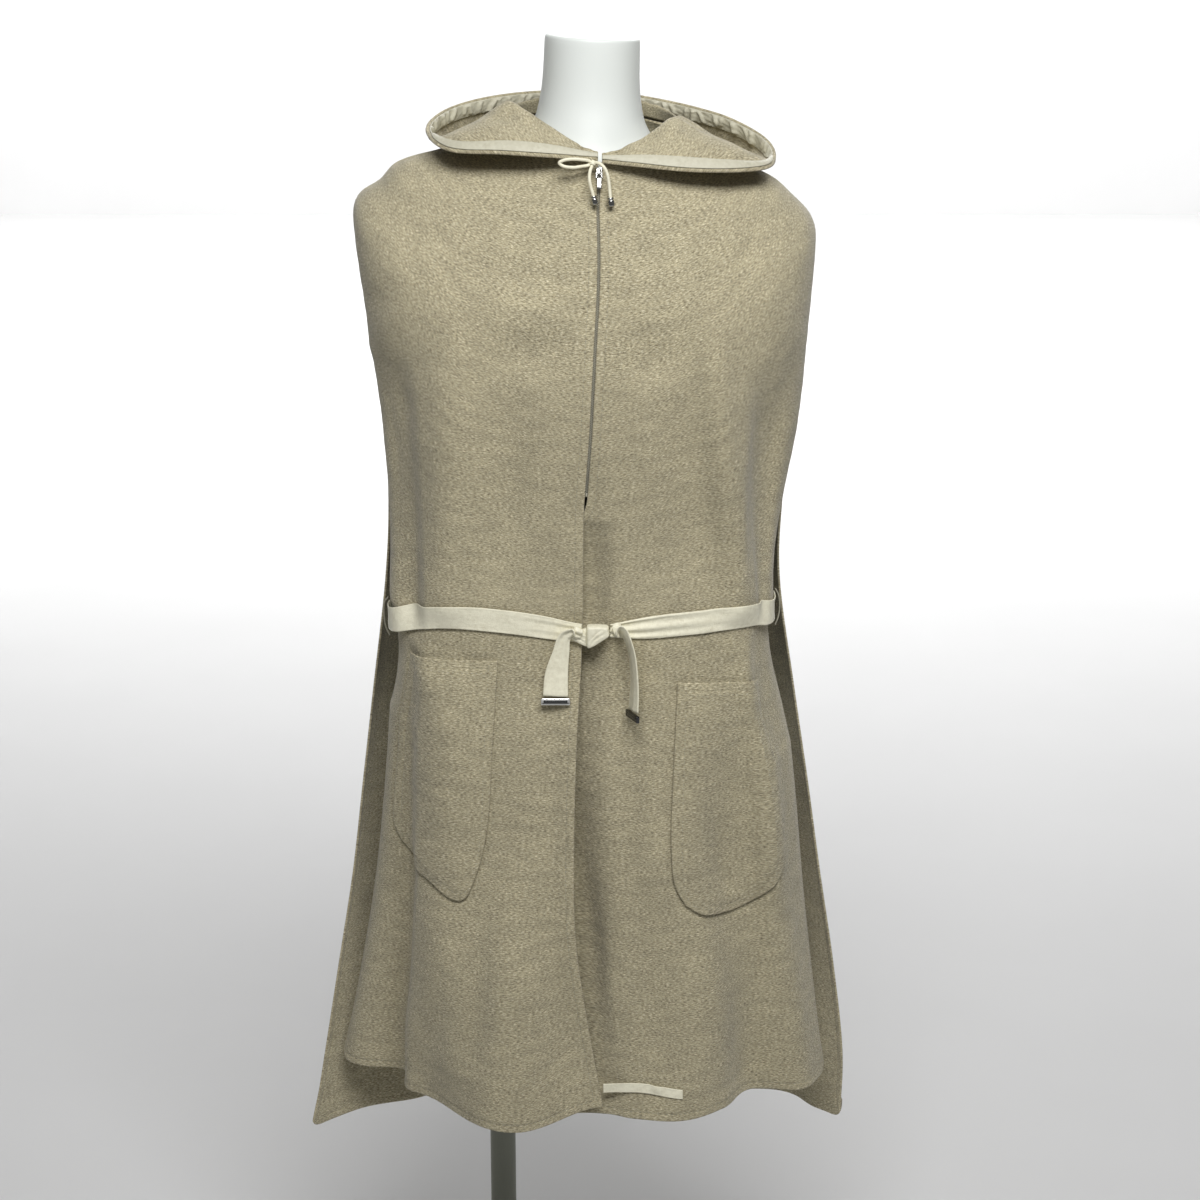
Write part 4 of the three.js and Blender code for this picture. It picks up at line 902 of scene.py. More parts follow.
def form_material():
    """A matt white shell with a faint orange-peel surface."""
    material, tree, principled = shader("form_shell", Roughness=0.42)
    place = object_place(tree)
    peel = noise(tree, place, 420, 2.0, 0.5)
    cloud = noise(tree, place, 9, 2.0, 0.5)
    colour = ramp(tree, cloud, [(0.3, (0.71, 0.74, 0.71)), (0.7, (0.75, 0.78, 0.75))])
    feed(tree, principled, {"Base Color": colour})
    bumped(tree, principled, peel, 0.05, 0.0004)
    return material


def tape_material():
    """Woven zip tape: a fine herringbone of dark yarn."""
    material, tree, principled = shader("zip_tape_weave", Roughness=0.85)
    uv = flat_place(tree)
    weave = node(tree, "ShaderNodeTexWave", {"Vector": uv, "Scale": 420.0, "Distortion": 1.5}).outputs["Fac"]
    colour = ramp(tree, weave, [(0.2, (0.150, 0.132, 0.092)), (0.8, (0.300, 0.268, 0.195))])
    feed(tree, principled, {"Base Color": colour})
    bumped(tree, principled, weave, 0.5, 0.0003)
    return material


def floor_material():
    material, tree, principled = shader("pale_floor", Roughness=0.9)
    place = object_place(tree)
    colour = ramp(tree, noise(tree, place, 3.0), [(0.2, (0.66, 0.66, 0.66)), (0.8, (0.68, 0.68, 0.68))])
    feed(tree, principled, {"Base Color": colour})
    return material


WOOL_LOOK = wool_material()
LEATHER_LOOK = leather_material("cream_leather", 1.08)
# The hood's facing is the cream leather darkened to a 0.70 tint: painted shade for the rim, which lies in
# shade at the back.
SHADED_FACING_LOOK = leather_material("hood_facing_leather_painted_shade", 0.70)
THREAD_LOOK = leather_material("seam_thread", 0.52)
# One nickel in three brightnesses as painted reflection: the plain one darkened and the dark one near black
# for dark reflections, the bright one for a bright reflection.
METAL_LOOK = metal_material("nickel", (0.46, 0.46, 0.44), 0.14)
BRIGHT_REFLECTION_NICKEL_LOOK = metal_material("nickel_painted_bright_reflection", (0.88, 0.88, 0.86), 0.12)
DARK_REFLECTION_NICKEL_LOOK = metal_material("nickel_painted_dark_reflection", (0.10, 0.10, 0.10), 0.22)
FORM_LOOK = form_material()
STEEL_LOOK = metal_material("green_grey_steel", (0.20, 0.205, 0.17), 0.42)
TAPE_LOOK = tape_material()


# Camera and cords come first

def camera():
    lens = bpy.data.cameras.new("camera")
    lens.lens = CAMERA_LENS
    lens.sensor_width = CAMERA_SENSOR
    made = bpy.data.objects.new("camera", lens)
    made.location = CAMERA_PLACE
    made.rotation_euler = (math.radians(90 - CAMERA_PITCH), 0, 0)
    bpy.context.scene.collection.objects.link(made)
    bpy.context.scene.camera = made


def cord_piece(name, route, cad):
    """A cord as one smooth spline along its route, and its length."""
    curve = bpy.data.curves.new(name, "CURVE")
    curve.dimensions = "3D"
    curve.bevel_depth = CORD_WIDTH / 2
    curve.bevel_resolution = 5
    curve.use_fill_caps = True
    line = smooth_line(route, 4 * len(route))
    spline = curve.splines.new("POLY")
    spline.points.add(len(line) - 1)
    for point, place in zip(spline.points, line):
        point.co = (*place, 1)
    curve.materials.append(LEATHER_LOOK)
    return placed(bpy.data.objects.new(name, curve), cad), float(run(line)[-1])


def lathe(profile, foot, way, sides=32):
    """A turned body: a profile of radius and height, set up from foot along way, in millimetres."""
    way = unit(np.asarray(way, float))
    around = circle(way, sides)
    rings = [np.asarray(foot, float) + way * height + around * radius for radius, height in profile]
    return loft_faces(rings, len(profile), sides)


TIP_PROFILE = [(1.9, 0), (2.6, 0), (2.9, 0.3), (3.0, 0.8), (2.9, 1.6), (2.45, 1.9), (2.45, 2.5), (2.9, 2.8),
               (3.05, 3.4), (3.05, 6.8), (2.9, 7.6), (2.5, 8.1), (1.5, 8.4)]


def drawstring():
    loop, length = cord_piece("bow_loop", LOOP_ROUTE, "drawstring_loop")
    for side, route in END_ROUTES.items():
        word = WORD[side]
        tail, length = cord_piece(f"bow_end_{word}", route, f"drawstring_end_{word}")
        end, before = (np.array(route[k]) / MM for k in (-1, -2))
        way = unit(end - before)
        points, faces = lathe(TIP_PROFILE, end - way * TIP_OVERLAP, way)
        tip = mesh_piece(f"cord_end_{word}", points, faces, METAL_LOOK, "metal", f"cord_tip_{word}")
    bow_knot()


def bow_knot():
    """The bow's knot: three turns of cord round each other."""
    turn = np.linspace(0, 2 * math.pi, 26)
    turns = []
    for tilt, size, lift in BOW_TURNS:
        ring = stack(size * np.cos(turn), 0.75 * size * np.sin(turn) - lift, 0.25 * np.sin(2 * turn))
        turns.append(tube(np.array(BOW_KNOT) / MM + turned(ring, tilt, 0, 2), 1.25, 12, 40))
    mesh_piece("bow_knot", *joined(turns), LEATHER_LOOK, "leather", "drawstring_knot")


camera()
drawstring()


# Panels, hood and what lies on them

def cloth_piece(name, grid, cad, material=WOOL_LOOK, slot="wool"):
    """A closed sheet round a grid of middle points. half is half its thickness, 0 at its rim."""
    half, uv = grid["half"], grid["uv"].reshape(-1, 2)
    thick = grid["normals"] * half[..., None]
    points = np.concatenate([(grid["mid"] + thick).reshape(-1, 3), (grid["mid"] - thick).reshape(-1, 3)])
    number = np.arange(half.size).reshape(half.shape)
    under = np.where(half <= 1e-6, number, number + half.size)
    used, index = np.unique(np.concatenate([quads(number), quads(under)[:, ::-1]]), return_inverse=True)
    faces, points = index.reshape(-1, 4), points[used]
    a, b, c, d = (points[faces[:, k]] for k in range(4))
    if np.einsum("ij,ij->i", a, np.cross(b, c) + np.cross(c, d)).sum() < 0:
        faces = faces[:, ::-1]
    return mesh_piece(name, points, faces, material, slot, cad, np.concatenate([uv, uv])[used])


def laid(base, normals, lift, half, uv):
    """Cloth or leather laid on a grid of points, lifted off them."""
    half = np.maximum(half, 0)
    mid = base + normals * lift[..., None]
    return dict(mid=mid, normals=normals, half=half, uv=uv, outer=mid + normals * half[..., None])


def stitches(name, lines, pitch=4.6, long=2.9, radius=0.26, material=THREAD_LOOK, slot="wool"):
    """Rows of short stitches. Each line is points and directions out of the cloth."""
    turn = np.linspace(0, 2 * math.pi, 6, endpoint=False)[:, None]
    parts = []
    for points, normals in lines:
        length = run(points)
        for start in np.arange(pitch / 2, length[-1] - long, pitch):
            at = at_length(points, length, start + np.array([0, 0.5, 1]) * long)
            out = unit(at_length(normals, length, [start + long / 2])[0])
            side = np.cross(unit(at[2] - at[0]), out)
            ring = (np.cos(turn) * side + np.sin(turn) * out * 0.8) * radius
            parts.append(loft_faces([at[0] + out * -0.15 + ring * 0.35, at[1] + out * 0.12 + ring,
                                     at[2] + out * -0.15 + ring * 0.35], 3, 6))
    return mesh_piece(name, *joined(parts), material, slot)


def grid_line(grid, column=None, row=None, start=0, end=None):
    """A line of a panel's outer face, with its directions out."""
    cut = (slice(start, end), column) if row is None else (row, slice(start, end))
    return grid["outer"][cut], grid["normals"][cut]


GROOVE = EDGE.index(STITCH_INSET)


def pocket_lines(side):
    """A pocket's four border lines, and its whole outline."""
    rows = POCKETS[side]
    inner, outer = flat_curve(rows["inner"], 50), flat_curve(rows["outer"], 50)
    top, bottom = np.array([inner[0], outer[0]]), flat_curve(rows["bottom"], 50)
    return top, bottom, inner, outer, np.concatenate([top[::-1], inner[1:], bottom[1:], outer[::-1][1:]])


def fronts():
    for side, word in WORD.items():
        face = lambda u, v, side=side: front_face(side, u, v)
        creases = FRONT_CREASES + (CLOSURE_CREASES if side == LEFT else OVERLAP_CREASES)
        *_, border = pocket_lines(side)
        grid = panel(face, (0, 1), FRONT_ROWS, 78, 240, creases, (0, -1, 0), -1, [border])
        piece = cloth_piece(f"front_{word}_cloth", grid, f"front_{word}")
        first = np.searchsorted(grid["down"], 150)
        stitches(f"front_{word}_stitches", [grid_line(grid, column=-1 - GROOVE, start=first, end=-GROOVE),
                                            grid_line(grid, row=-1 - GROOVE, start=GROOVE, end=-GROOVE),
                                            grid_line(grid, column=GROOVE, start=20, end=-GROOVE)])


def back():
    grid = panel(back_face, (-1, 1), BACK_ROWS, 128, 236, BACK_CREASES, (0, 1, 0), 1)
    piece = cloth_piece("back_cloth", grid, "back")
    first = np.searchsorted(grid["down"], 110)
    stitches("back_stitches", [grid_line(grid, column=-1 - GROOVE, start=first, end=-GROOVE),
                               grid_line(grid, column=GROOVE, start=first, end=-GROOVE),
                               grid_line(grid, row=-1 - GROOVE, start=GROOVE, end=-GROOVE)])


def hood_displacement(side, angles, share):
    depth = np.zeros(np.broadcast(angles, share).shape)
    for fold_side, angle, at, half_angle, half_share, deep in HOOD_FOLDS:
        if fold_side == side:
            depth = depth + deep * bump((angles - angle) / half_angle) * bump((share - at) / half_share)
    return depth


def gather_depth(side, angles, share):
    """Short uneven ridges across the leather along the back rim, where the cord gathers it."""
    depth = np.zeros(np.broadcast(angles, share).shape)
    for i, (angle, deep) in enumerate(GATHERS):
        shift = 1.3 * math.sin(i * 2.3 + (1 if side == LEFT else 0))
        slant = 2.6 * math.sin(i * 1.7 + side) * (share - 0.5)
        half = 1.5 + 0.6 * math.sin(i * 3.1)
        reach = smooth((share + 0.15 * math.sin(i * 5.0)) / 0.25) * smooth((1.0 - share) / 0.12)
        depth = depth + deep * bump((angles - angle - shift - slant) / half) * reach
    return depth


def hood():
    angles = np.concatenate([[1.0, 1.2, 1.6, 2.2], np.linspace(2.9, 178.6, 250),
                             [179.1, 179.5, 179.75, 180.0]])
    rows = np.concatenate([[0, 0.004, 0.012, 0.03], np.linspace(0.05, 0.95, 56), [0.97, 0.985, 0.995, 1]])
    spin = angles[:, None]
    for side, word in WORD.items():
        grid, places, total, strip = hood_grid(side, angles, rows)
        normals = grid_normals(grid, (0, 0, 1))
        distance = np.minimum(from_ends(places), from_ends(run(grid.transpose(1, 0, 2)).T, 0))
        calm = smooth(distance / 10)
        over_strip = places - (total - strip)
        depth = hood_displacement(side, spin, places / total) * calm + 0.3 * wave(grid, (33, 19)) * calm
        depth = depth + 0.5 * gather_depth(side, spin, over_strip / strip) * smooth(over_strip / 3)
        channel = bump((total - places - 3.0) / 3.4) * (1 - smooth((spin - 86) / 16))
        half = rounded(distance, WOOL) + 0.9 * channel * smooth(distance / 2)
        cloth = dict(mid=grid + normals * (depth - WOOL / 2)[..., None], normals=normals, half=half,
                     uv=stack(spin * RIM_ARC, places))
        piece = cloth_piece(f"hood_{word}_cloth", cloth, f"hood_{word}")
        hood_binding(side, spin)


def hood_binding(side, spin):
    """The leather facing along the rim: smooth at the front and gathered at the back."""
    word = WORD[side]
    grid, places, total, strip = hood_grid(side, spin[:, 0], np.linspace(0, 1, 300))
    across = np.array([0, 0.02, 0.06, 0.12, 0.18, 0.25, 0.33, 0.42, 0.5, 0.58, 0.66, 0.74, 0.82, 0.88, 0.94,
                       0.98, 1])
    to_back = smooth((spin - 72) / 16)
    inset = np.minimum(mix(2.8, 1.3, to_back), strip * 0.3)
    wide = np.minimum(mix(3.0 + 10.0 * bump((spin - 38) / 46), 13.5, to_back), strip * 0.7)
    at = (total - inset - wide) + across * wide
    base = row_by_row(grid, places, at)
    out = unit(row_by_row(grid_normals(grid, (0, 0, 1)), places, at))
    distance = np.minimum(from_ends(at), from_ends(run(base.transpose(1, 0, 2)).T, 0))
    lift = LIE_GAP + LEATHER / 2 + 0.35
    depth = 2.0 * gather_depth(side, spin, across) * smooth(distance / 2.0)
    depth = depth + 0.5 * bump((across - 0.5) / 0.5)
    depth = depth + (0.15 + 0.45 * to_back) * wave(base, (13, 8, 5.5)) * smooth(distance / 2.0)
    strip_grid = laid(base, out, lift + depth, rounded(distance, LEATHER), stack(spin * RIM_ARC, at))
    piece = cloth_piece(f"hood_facing_{word}", strip_grid, f"hood_binding_{word}", SHADED_FACING_LOOK, "leather")
    line = base[:, 1] + out[:, 1] * (lift + 0.5), out[:, 1]
    stitches(f"hood_facing_{word}_stitches", [line], 3.4, 2.2, 0.2, SHADED_FACING_LOOK, "leather")


def front_places(side, xz):
    """Which u and v of a front lie at points in x and z, found by a few Newton steps."""
    goal = np.asarray(xz, float)
    shape = goal.shape[:-1]
    goal = goal.reshape(-1, 2)
    u, v = (k.ravel() for k in np.meshgrid(np.linspace(0.02, 0.96, 48), np.linspace(1, FRONT_ROWS, 110)))
    known = front_face(side, u, v)[:, [0, 2]]
    near = np.array([np.argmin(((known - g) ** 2).sum(axis=1)) for g in goal])
    u, v = u[near], v[near]
    step = 1e-3
    at = lambda du, dv: front_face(side, u + du, v + dv)[:, [0, 2]]
    for _ in range(9):
        miss = goal - at(0, 0)
        a = (at(step, 0) - at(-step, 0)) / (2 * step)
        b = (at(0, step) - at(0, -step)) / (2 * step)
        det = a[:, 0] * b[:, 1] - a[:, 1] * b[:, 0]
        u = np.clip(u + np.clip((miss[:, 0] * b[:, 1] - miss[:, 1] * b[:, 0]) / det, -0.05, 0.05), 0, 1)
        down = np.clip((a[:, 0] * miss[:, 1] - a[:, 1] * miss[:, 0]) / det, -0.4, 0.4)
        v = np.clip(v + down, 0, FRONT_ROWS)
    return u.reshape(shape), v.reshape(shape)


def on_front(side, u, v, creases=()):
    """Points on a front's outer face and the directions out of it."""
    step = 1e-3
    across = front_face(side, u + step, v) - front_face(side, u - step, v)
    down = front_face(side, u, v + 5 * step) - front_face(side, u, v - 5 * step)
    normals = unit(np.cross(across, down)) * -side
    p = front_face(side, u, v)
    return p + normals * crease_depth(creases, p)[..., None], normals


def seat_at(x, z):
    """The y of the fronts' outer face at points in x and z."""
    x, z = np.broadcast_arrays(np.asarray(x, float), np.asarray(z, float))
    side = RIGHT if np.mean(x) < 0 else LEFT
    u, v = front_places(side, stack(x, z))
    return on_front(side, u, v)[0][..., 1]


def along(line, share):
    """Points along a line of points at shares of its length."""
    length = run(line)
    return at_length(line, length, share * length[-1])


def flat_curve(points, count):
    """A smooth curve through points in x and z."""
    points = np.array(points, float)
    return smooth_line(stack(points[:, 0], points[:, 1], 0), count)[:, :2]


def patch(top, bottom, inner, outer, columns, rows):
    """A grid between four border lines, with its cells close together along the borders."""
    across, down = spread(run(top)[-1], columns, EDGE), spread(run(inner)[-1], rows, EDGE)
    s, t = across / across[-1], down / down[-1]
    up, low, left, right = along(top, s), along(bottom, s), along(inner, t), along(outer, t)
    s, t = s[None, :, None], t[:, None, None]
    corners = mix(mix(up[0], up[-1], s), mix(low[0], low[-1], s), t)
    return mix(up[None], low[None], t) + mix(left[:, None], right[:, None], s) - corners


def distance_to(line, points):
    """How far points lie from a line of points."""
    a, b = line[:-1], line[1:]
    way = b - a
    nearest = np.full(points.shape[:-1], 1e9)
    for start, w in zip(a, way):
        k = np.clip((points - start) @ w / max(w @ w, 1e-9), 0, 1)
        nearest = np.minimum(nearest, np.linalg.norm(points - start - k[..., None] * w, axis=-1))
    return nearest


def pockets():
    for side, word in WORD.items():
        top, bottom, inner, outer, border = pocket_lines(side)
        flat = patch(top, bottom, inner, outer, 40, 90)
        distance, under_top = distance_to(border, flat), distance_to(top, flat)
        base, normals = on_front(side, *front_places(side, flat), creases=FRONT_CREASES)
        middle = np.sin(math.pi * np.linspace(0, 1, flat.shape[1]))
        lift = LIE_GAP + POCKET_WOOL / 2 + 1.8 * smooth(distance / 16)
        lift = lift + 1.5 * middle * smooth(1 - under_top / 60)
        lift = lift + 0.5 * wave(base, (41, 27), 1.0) * smooth(distance / 25)
        half = rounded(distance, POCKET_WOOL) - groove(distance) - groove(under_top, POCKET_HEM, 0.4)
        grid = laid(base, normals, lift, half, flat)
        piece = cloth_piece(f"pocket_{word}_cloth", grid, f"pocket_{word}")
        row = int(np.argmin(np.abs(under_top[:, flat.shape[1] // 2] - POCKET_HEM)))
        stitches(f"pocket_{word}_stitches", [grid_line(grid, column=GROOVE, start=3, end=-GROOVE),
                                             grid_line(grid, column=-1 - GROOVE, start=3, end=-GROOVE),
                                             grid_line(grid, row=-1 - GROOVE, start=GROOVE, end=-GROOVE),
                                             grid_line(grid, row=row, start=4, end=-4)])


def strip_across(width, edge, inner):
    """Places across a strip, from one side of its middle to the other."""
    return spread(width, inner, edge) - width / 2


def belt_fronts():
    """The belt over the two fronts, from the knot to the side edges."""
    across = strip_across(BELT_WIDTH, (0, 0.12, 0.35, 0.7, 1.2, 1.9, 2.6, 3.3, 4.2), 8)
    share = across / (BELT_WIDTH / 2)
    for side, word in WORD.items():
        path = BELT_PATH[side]
        first_x, gathered, pinch, rise = BELT_GATHER[side]
        start = front_places(side, [[first_x, path["z"][0]]])[0][0]
        u = np.repeat(mix(start, 0.995, np.linspace(0, 1, 190))[:, None], len(across), axis=1)
        order = np.argsort(path["x"])
        line = {"x": path["x"][order], "z": path["z"][order]}
        apart = np.abs(front_face(side, u[:, :1], 9.5)[..., 0] - KNOT_X)
        close, near_knot = 1 - smooth(apart / 75), 1 - smooth(apart / gathered)
        narrow = (1 - pinch * close ** 1.8) * across + rise * close ** 2
        low, high = np.full(u.shape, 6.0), np.full(u.shape, 12.5)
        for _ in range(30):
            v = (low + high) / 2
            p = front_face(side, u, v)
            above = p[..., 2] > read(line, "x", "z", p[..., 0]) + narrow
            low, high = np.where(above, v, low), np.where(above, high, v)
        base, normals = on_front(side, u, v)
        length = run(base[:, len(across) // 2])
        folds = sum(deep * bump((share - at) / half) for at, half, deep in BELT_FOLDS[side])
        depth = folds * near_knot ** 0.8 * smooth((1 - np.abs(share)) / 0.15)
        depth = depth + 0.35 * wave(base, (47, 31), 0.7) * smooth((1 - np.abs(share)) / 0.3)
        distance = from_edges(length, across, BELT_WIDTH / 2)
        half = rounded(distance, LEATHER) - 0.10 * bump((distance - 2.6) / 0.7)
        lift = BELT_GAP + LEATHER / 2 + 0.5 + np.maximum(depth, -0.9)
        grid = laid(base, normals, lift, half, stack(length[:, None], across))
        piece = cloth_piece(f"belt_over_front_{word}", grid, f"belt_front_{word}", LEATHER_LOOK, "leather")


def strap(line, side_way, half_width, thick, share, bend=0.0):
    """A flat strap along a line, with its cross-section along side_way and bent by bend."""
    way = unit(np.gradient(line, axis=0))
    side = unit(side_way - (side_way * way).sum(-1, keepdims=True) * way)
    out = np.cross(way, side)
    out = out * np.where(out[:, 1:2] > 0, -1, 1)
    half_width = np.broadcast_to(half_width, len(line))[:, None]
    across = share * half_width
    bend = np.broadcast_to(bend, across.shape)
    grid = line[:, None] + side[:, None] * across[..., None] + out[:, None] * bend[..., None]
    length = run(line)
    return dict(mid=grid, normals=grid_normals(grid, (0, -1, 0)), uv=stack(length[:, None], across),
                half=rounded(from_edges(length, across, half_width), thick))


# Places near the edges of a strap that is 2 wide
STRAP_EDGE = (0, 0.01, 0.03, 0.07, 0.14, 0.26)


def belt_back():
    line = smooth_line(BELT_BACK, 150)[1:-1]
    grid = strap(line, np.array([0, 0, 1.0]), BELT_WIDTH / 2, LEATHER, strip_across(2.0, STRAP_EDGE, 9))
    outward = ((grid["mid"] - BELT_MIDDLE) * grid["normals"]).sum(-1)
    grid["normals"] = grid["normals"] * np.sign(np.median(outward))
    piece = cloth_piece("belt_behind", grid, "belt_back", LEATHER_LOOK, "leather")


def belt_tails():
    share = strip_across(2.0, STRAP_EDGE, 15)
    down = np.linspace(0, 1, 80)[:, None]
    for side, word in WORD.items():
        rows = BELT_TAILS[side]
        at = np.linspace(0, rows["index"][-1], len(down))
        x, z, out, half, twist = (read(rows, "index", c, at) for c in ("x", "z", "out", "half", "twist"))
        line = stack(x, seat_at(x, z) - out, z)
        turn = np.radians(twist)
        if side == RIGHT:
            bend = 1.6 * bump((share - 0.35) / 0.5) - 1.2 * bump((share + 0.35) / 0.45)
            bend = bend * (1 - 0.75 * smooth(down * 1.25)) + 0.8 * (0.4 - share ** 2) * down
        else:
            bend = 1.7 * (0.35 - np.abs(share - 0.3)) * (0.5 + 0.5 * down)
        grid = strap(line, stack(np.cos(turn), np.sin(turn), 0), half, LEATHER * 1.4, share, bend)
        piece = cloth_piece(f"belt_end_{word}", grid, f"belt_tail_{word}", LEATHER_LOOK, "leather")
        # The two bars are one metal: the right one takes the painted bright reflection, the left one the
        # painted dark reflection.
        size, look = BELT_TIP[side], BRIGHT_REFLECTION_NICKEL_LOOK if side == RIGHT else DARK_REFLECTION_NICKEL_LOOK
        place = line[-1] - [0, 0, BELT_TIP_HEIGHT / 2 + SEAM_GAP + LEATHER]
        points, faces = soft_box((size, 3.4, BELT_TIP_HEIGHT), 1.0, dent=0.55)
        points = turned(points, turn[-1], 0, 1) + place
        mesh_piece(f"belt_bar_{word}", points, faces, look, "metal", f"belt_tip_{word}")
        # A thin plate of the near-black nickel in the bar's hollow: painted shade for the slot.
        points, faces = soft_box((size - 5, 0.8, BELT_TIP_HEIGHT - 4.2), 0.35, count=6)
        points = turned(points - [0, 1.2, 0], turn[-1], 0, 1) + place
        mesh_piece(f"belt_bar_slot_shade_{word}", points, faces, DARK_REFLECTION_NICKEL_LOOK, "metal")


def soft_box(size, radius, dent=0.0, count=14):
    """A box with rounded edges round the origin. dent hollows the middle of its front."""
    half = np.array(size, float) / 2
    radius = min(radius, half.min() * 0.98)
    core = half - radius
    ease = mix(-1, 1, 0.5 - 0.5 * np.cos(np.linspace(0, math.pi, count)))
    a, b = np.meshgrid(ease, ease, indexing="ij")
    points, faces = [], []
    for i, (axis, sign) in enumerate((axis, sign) for axis in range(3) for sign in (-1, 1)):
        cube = np.empty(a.shape + (3,))
        cube[..., axis] = sign
        cube[..., (axis + 1) % 3], cube[..., (axis + 2) % 3] = a, b
        inner = np.clip(cube * half, -core, core)
        p = inner + unit(cube * half - inner) * radius
        if dent and axis == 1 and sign < 0:
            inside = np.minimum(half[0] - np.abs(p[..., 0]), half[2] - np.abs(p[..., 2]))
            p[..., 1] += dent * smooth((inside - 1.5) / 0.8)
        cells = quads(np.arange(i * count ** 2, (i + 1) * count ** 2).reshape(count, count))
        faces.append(cells if sign < 0 else cells[:, ::-1])
        points.append(p.reshape(-1, 3))
    kept, index = np.unique(np.concatenate(points).round(5), axis=0, return_inverse=True)
    faces = [tuple(dict.fromkeys(f)) for f in index.reshape(-1)[np.concatenate(faces)].tolist()]
    return kept, turn_out(kept, [f for f in faces if len(f) > 2])


def reach(outline, turn):
    """How far an outline of points round (0, 0) lies in each direction, with its corners softened."""
    outline = np.array(outline, float)
    share = np.linspace(0, 1, 60)[:, None]
    dense = np.concatenate([mix(a, b, share) for a, b in zip(outline, np.roll(outline, -1, 0))])
    aside = dense @ np.stack([-np.sin(turn), np.cos(turn)])
    ahead = dense @ np.stack([np.cos(turn), np.sin(turn)])
    far = np.array([ahead[k, i] for i, k in enumerate(np.argmin(np.abs(aside) + 99 * (ahead < 0), axis=0))])
    blend = np.array([1, 3, 4, 3, 1.0]) / 12
    return sum(k * np.roll(far, i - 2) for i, k in enumerate(blend))


def pillow(outline, middle, outs, sizes):
    """A soft body with one outline, in x and z round its middle, grown through rings of place and size."""
    turn = np.linspace(0, 2 * math.pi, KNOT_SIDES, endpoint=False)
    far = reach(outline, turn)
    ring = stack(far * np.cos(turn), 0, far * np.sin(turn))
    at = np.linspace(0, len(outs) - 1, 12 * len(outs))
    out, size = (np.interp(at, np.arange(len(outs)), values) for values in (outs, sizes))
    rings = [ring * k + np.array(middle) - [0, o, 0] for o, k in zip(out, size)]
    return loft_faces(rings, len(rings), KNOT_SIDES)


def belt_knot():
    """The knot: a flap wrapped over the belt, pointed at its lower left, and a folded corner beside it."""
    seat = float(seat_at(np.array([KNOT_X]), np.array([KNOT_Z]))[0]) - KNOT_SEAT
    bodies = []
    for outline, shift, outs, sizes in KNOT_BODIES:
        points, faces = pillow(outline, (KNOT_X + shift[0], seat, KNOT_Z + shift[1]), outs, sizes)
        x, z = points[:, 0] - KNOT_X, points[:, 2] - KNOT_Z
        folds = np.zeros(len(points))
        for *line, half, deep in KNOT_FOLDS:
            part, off = beside(line, x, z)
            folds += deep * bump(off / half) * np.sin(math.pi * np.clip(part, 0.05, 0.95))
        points[:, 1] -= folds * smooth((seat - points[:, 1] - 4) / 6)
        bodies.append((points, faces))
    mesh_piece("belt_knot_wrap", *joined(bodies), LEATHER_LOOK, "leather", "belt_knot")


def belt_loops():
    """Thread loops at the side edges that the belt passes through: two strands twisted together."""
    for side, word in WORD.items():
        line = smooth_line(BELT_LOOPS[side], 90)
        way = unit(np.gradient(line, axis=0))
        out = unit(np.cross(way, [0, 1.0, 0]))
        other = np.cross(way, out)
        strands = []
        for phase in (0, math.pi):
            turn = run(line)[:, None] * 1.7 + phase
            strands.append(tube(line + (out * np.cos(turn) + other * np.sin(turn)) * 0.38, 0.42, 8, 150))
        mesh_piece(f"thread_loop_{word}", *joined(strands), THREAD_LOOK, "wool", f"belt_loop_{word}")


def hem_tab():
    """A narrow leather strip sewn along the left front, with one small ripple in it."""
    x = np.linspace(HEM_TAB["x"][0], HEM_TAB["x"][-1], 150)[:, None]
    across = strip_across(HEM_TAB_HEIGHT, (0, 0.12, 0.35, 0.7, 1.2, 1.9), 5)
    flat = stack(x, read(HEM_TAB, "x", "z", x) + across)
    base, normals = on_front(LEFT, *front_places(LEFT, flat), creases=FRONT_CREASES)
    distance = from_edges(x[:, 0], across, HEM_TAB_HEIGHT / 2)
    rise = 1.8 * bump((x - 70) / 9) * smooth(across / HEM_TAB_HEIGHT + 0.7)
    lift = LIE_GAP + LEATHER / 2 + rise + 0.25 * wave(base, (23, 17)) * smooth(distance / 3)
    half = rounded(distance, LEATHER) - 0.15 * bump((distance - 1.6) / 0.6)
    grid = laid(base, normals, lift, half, flat)
    piece = cloth_piece("hem_label", grid, "hem_tab", LEATHER_LOOK, "leather")


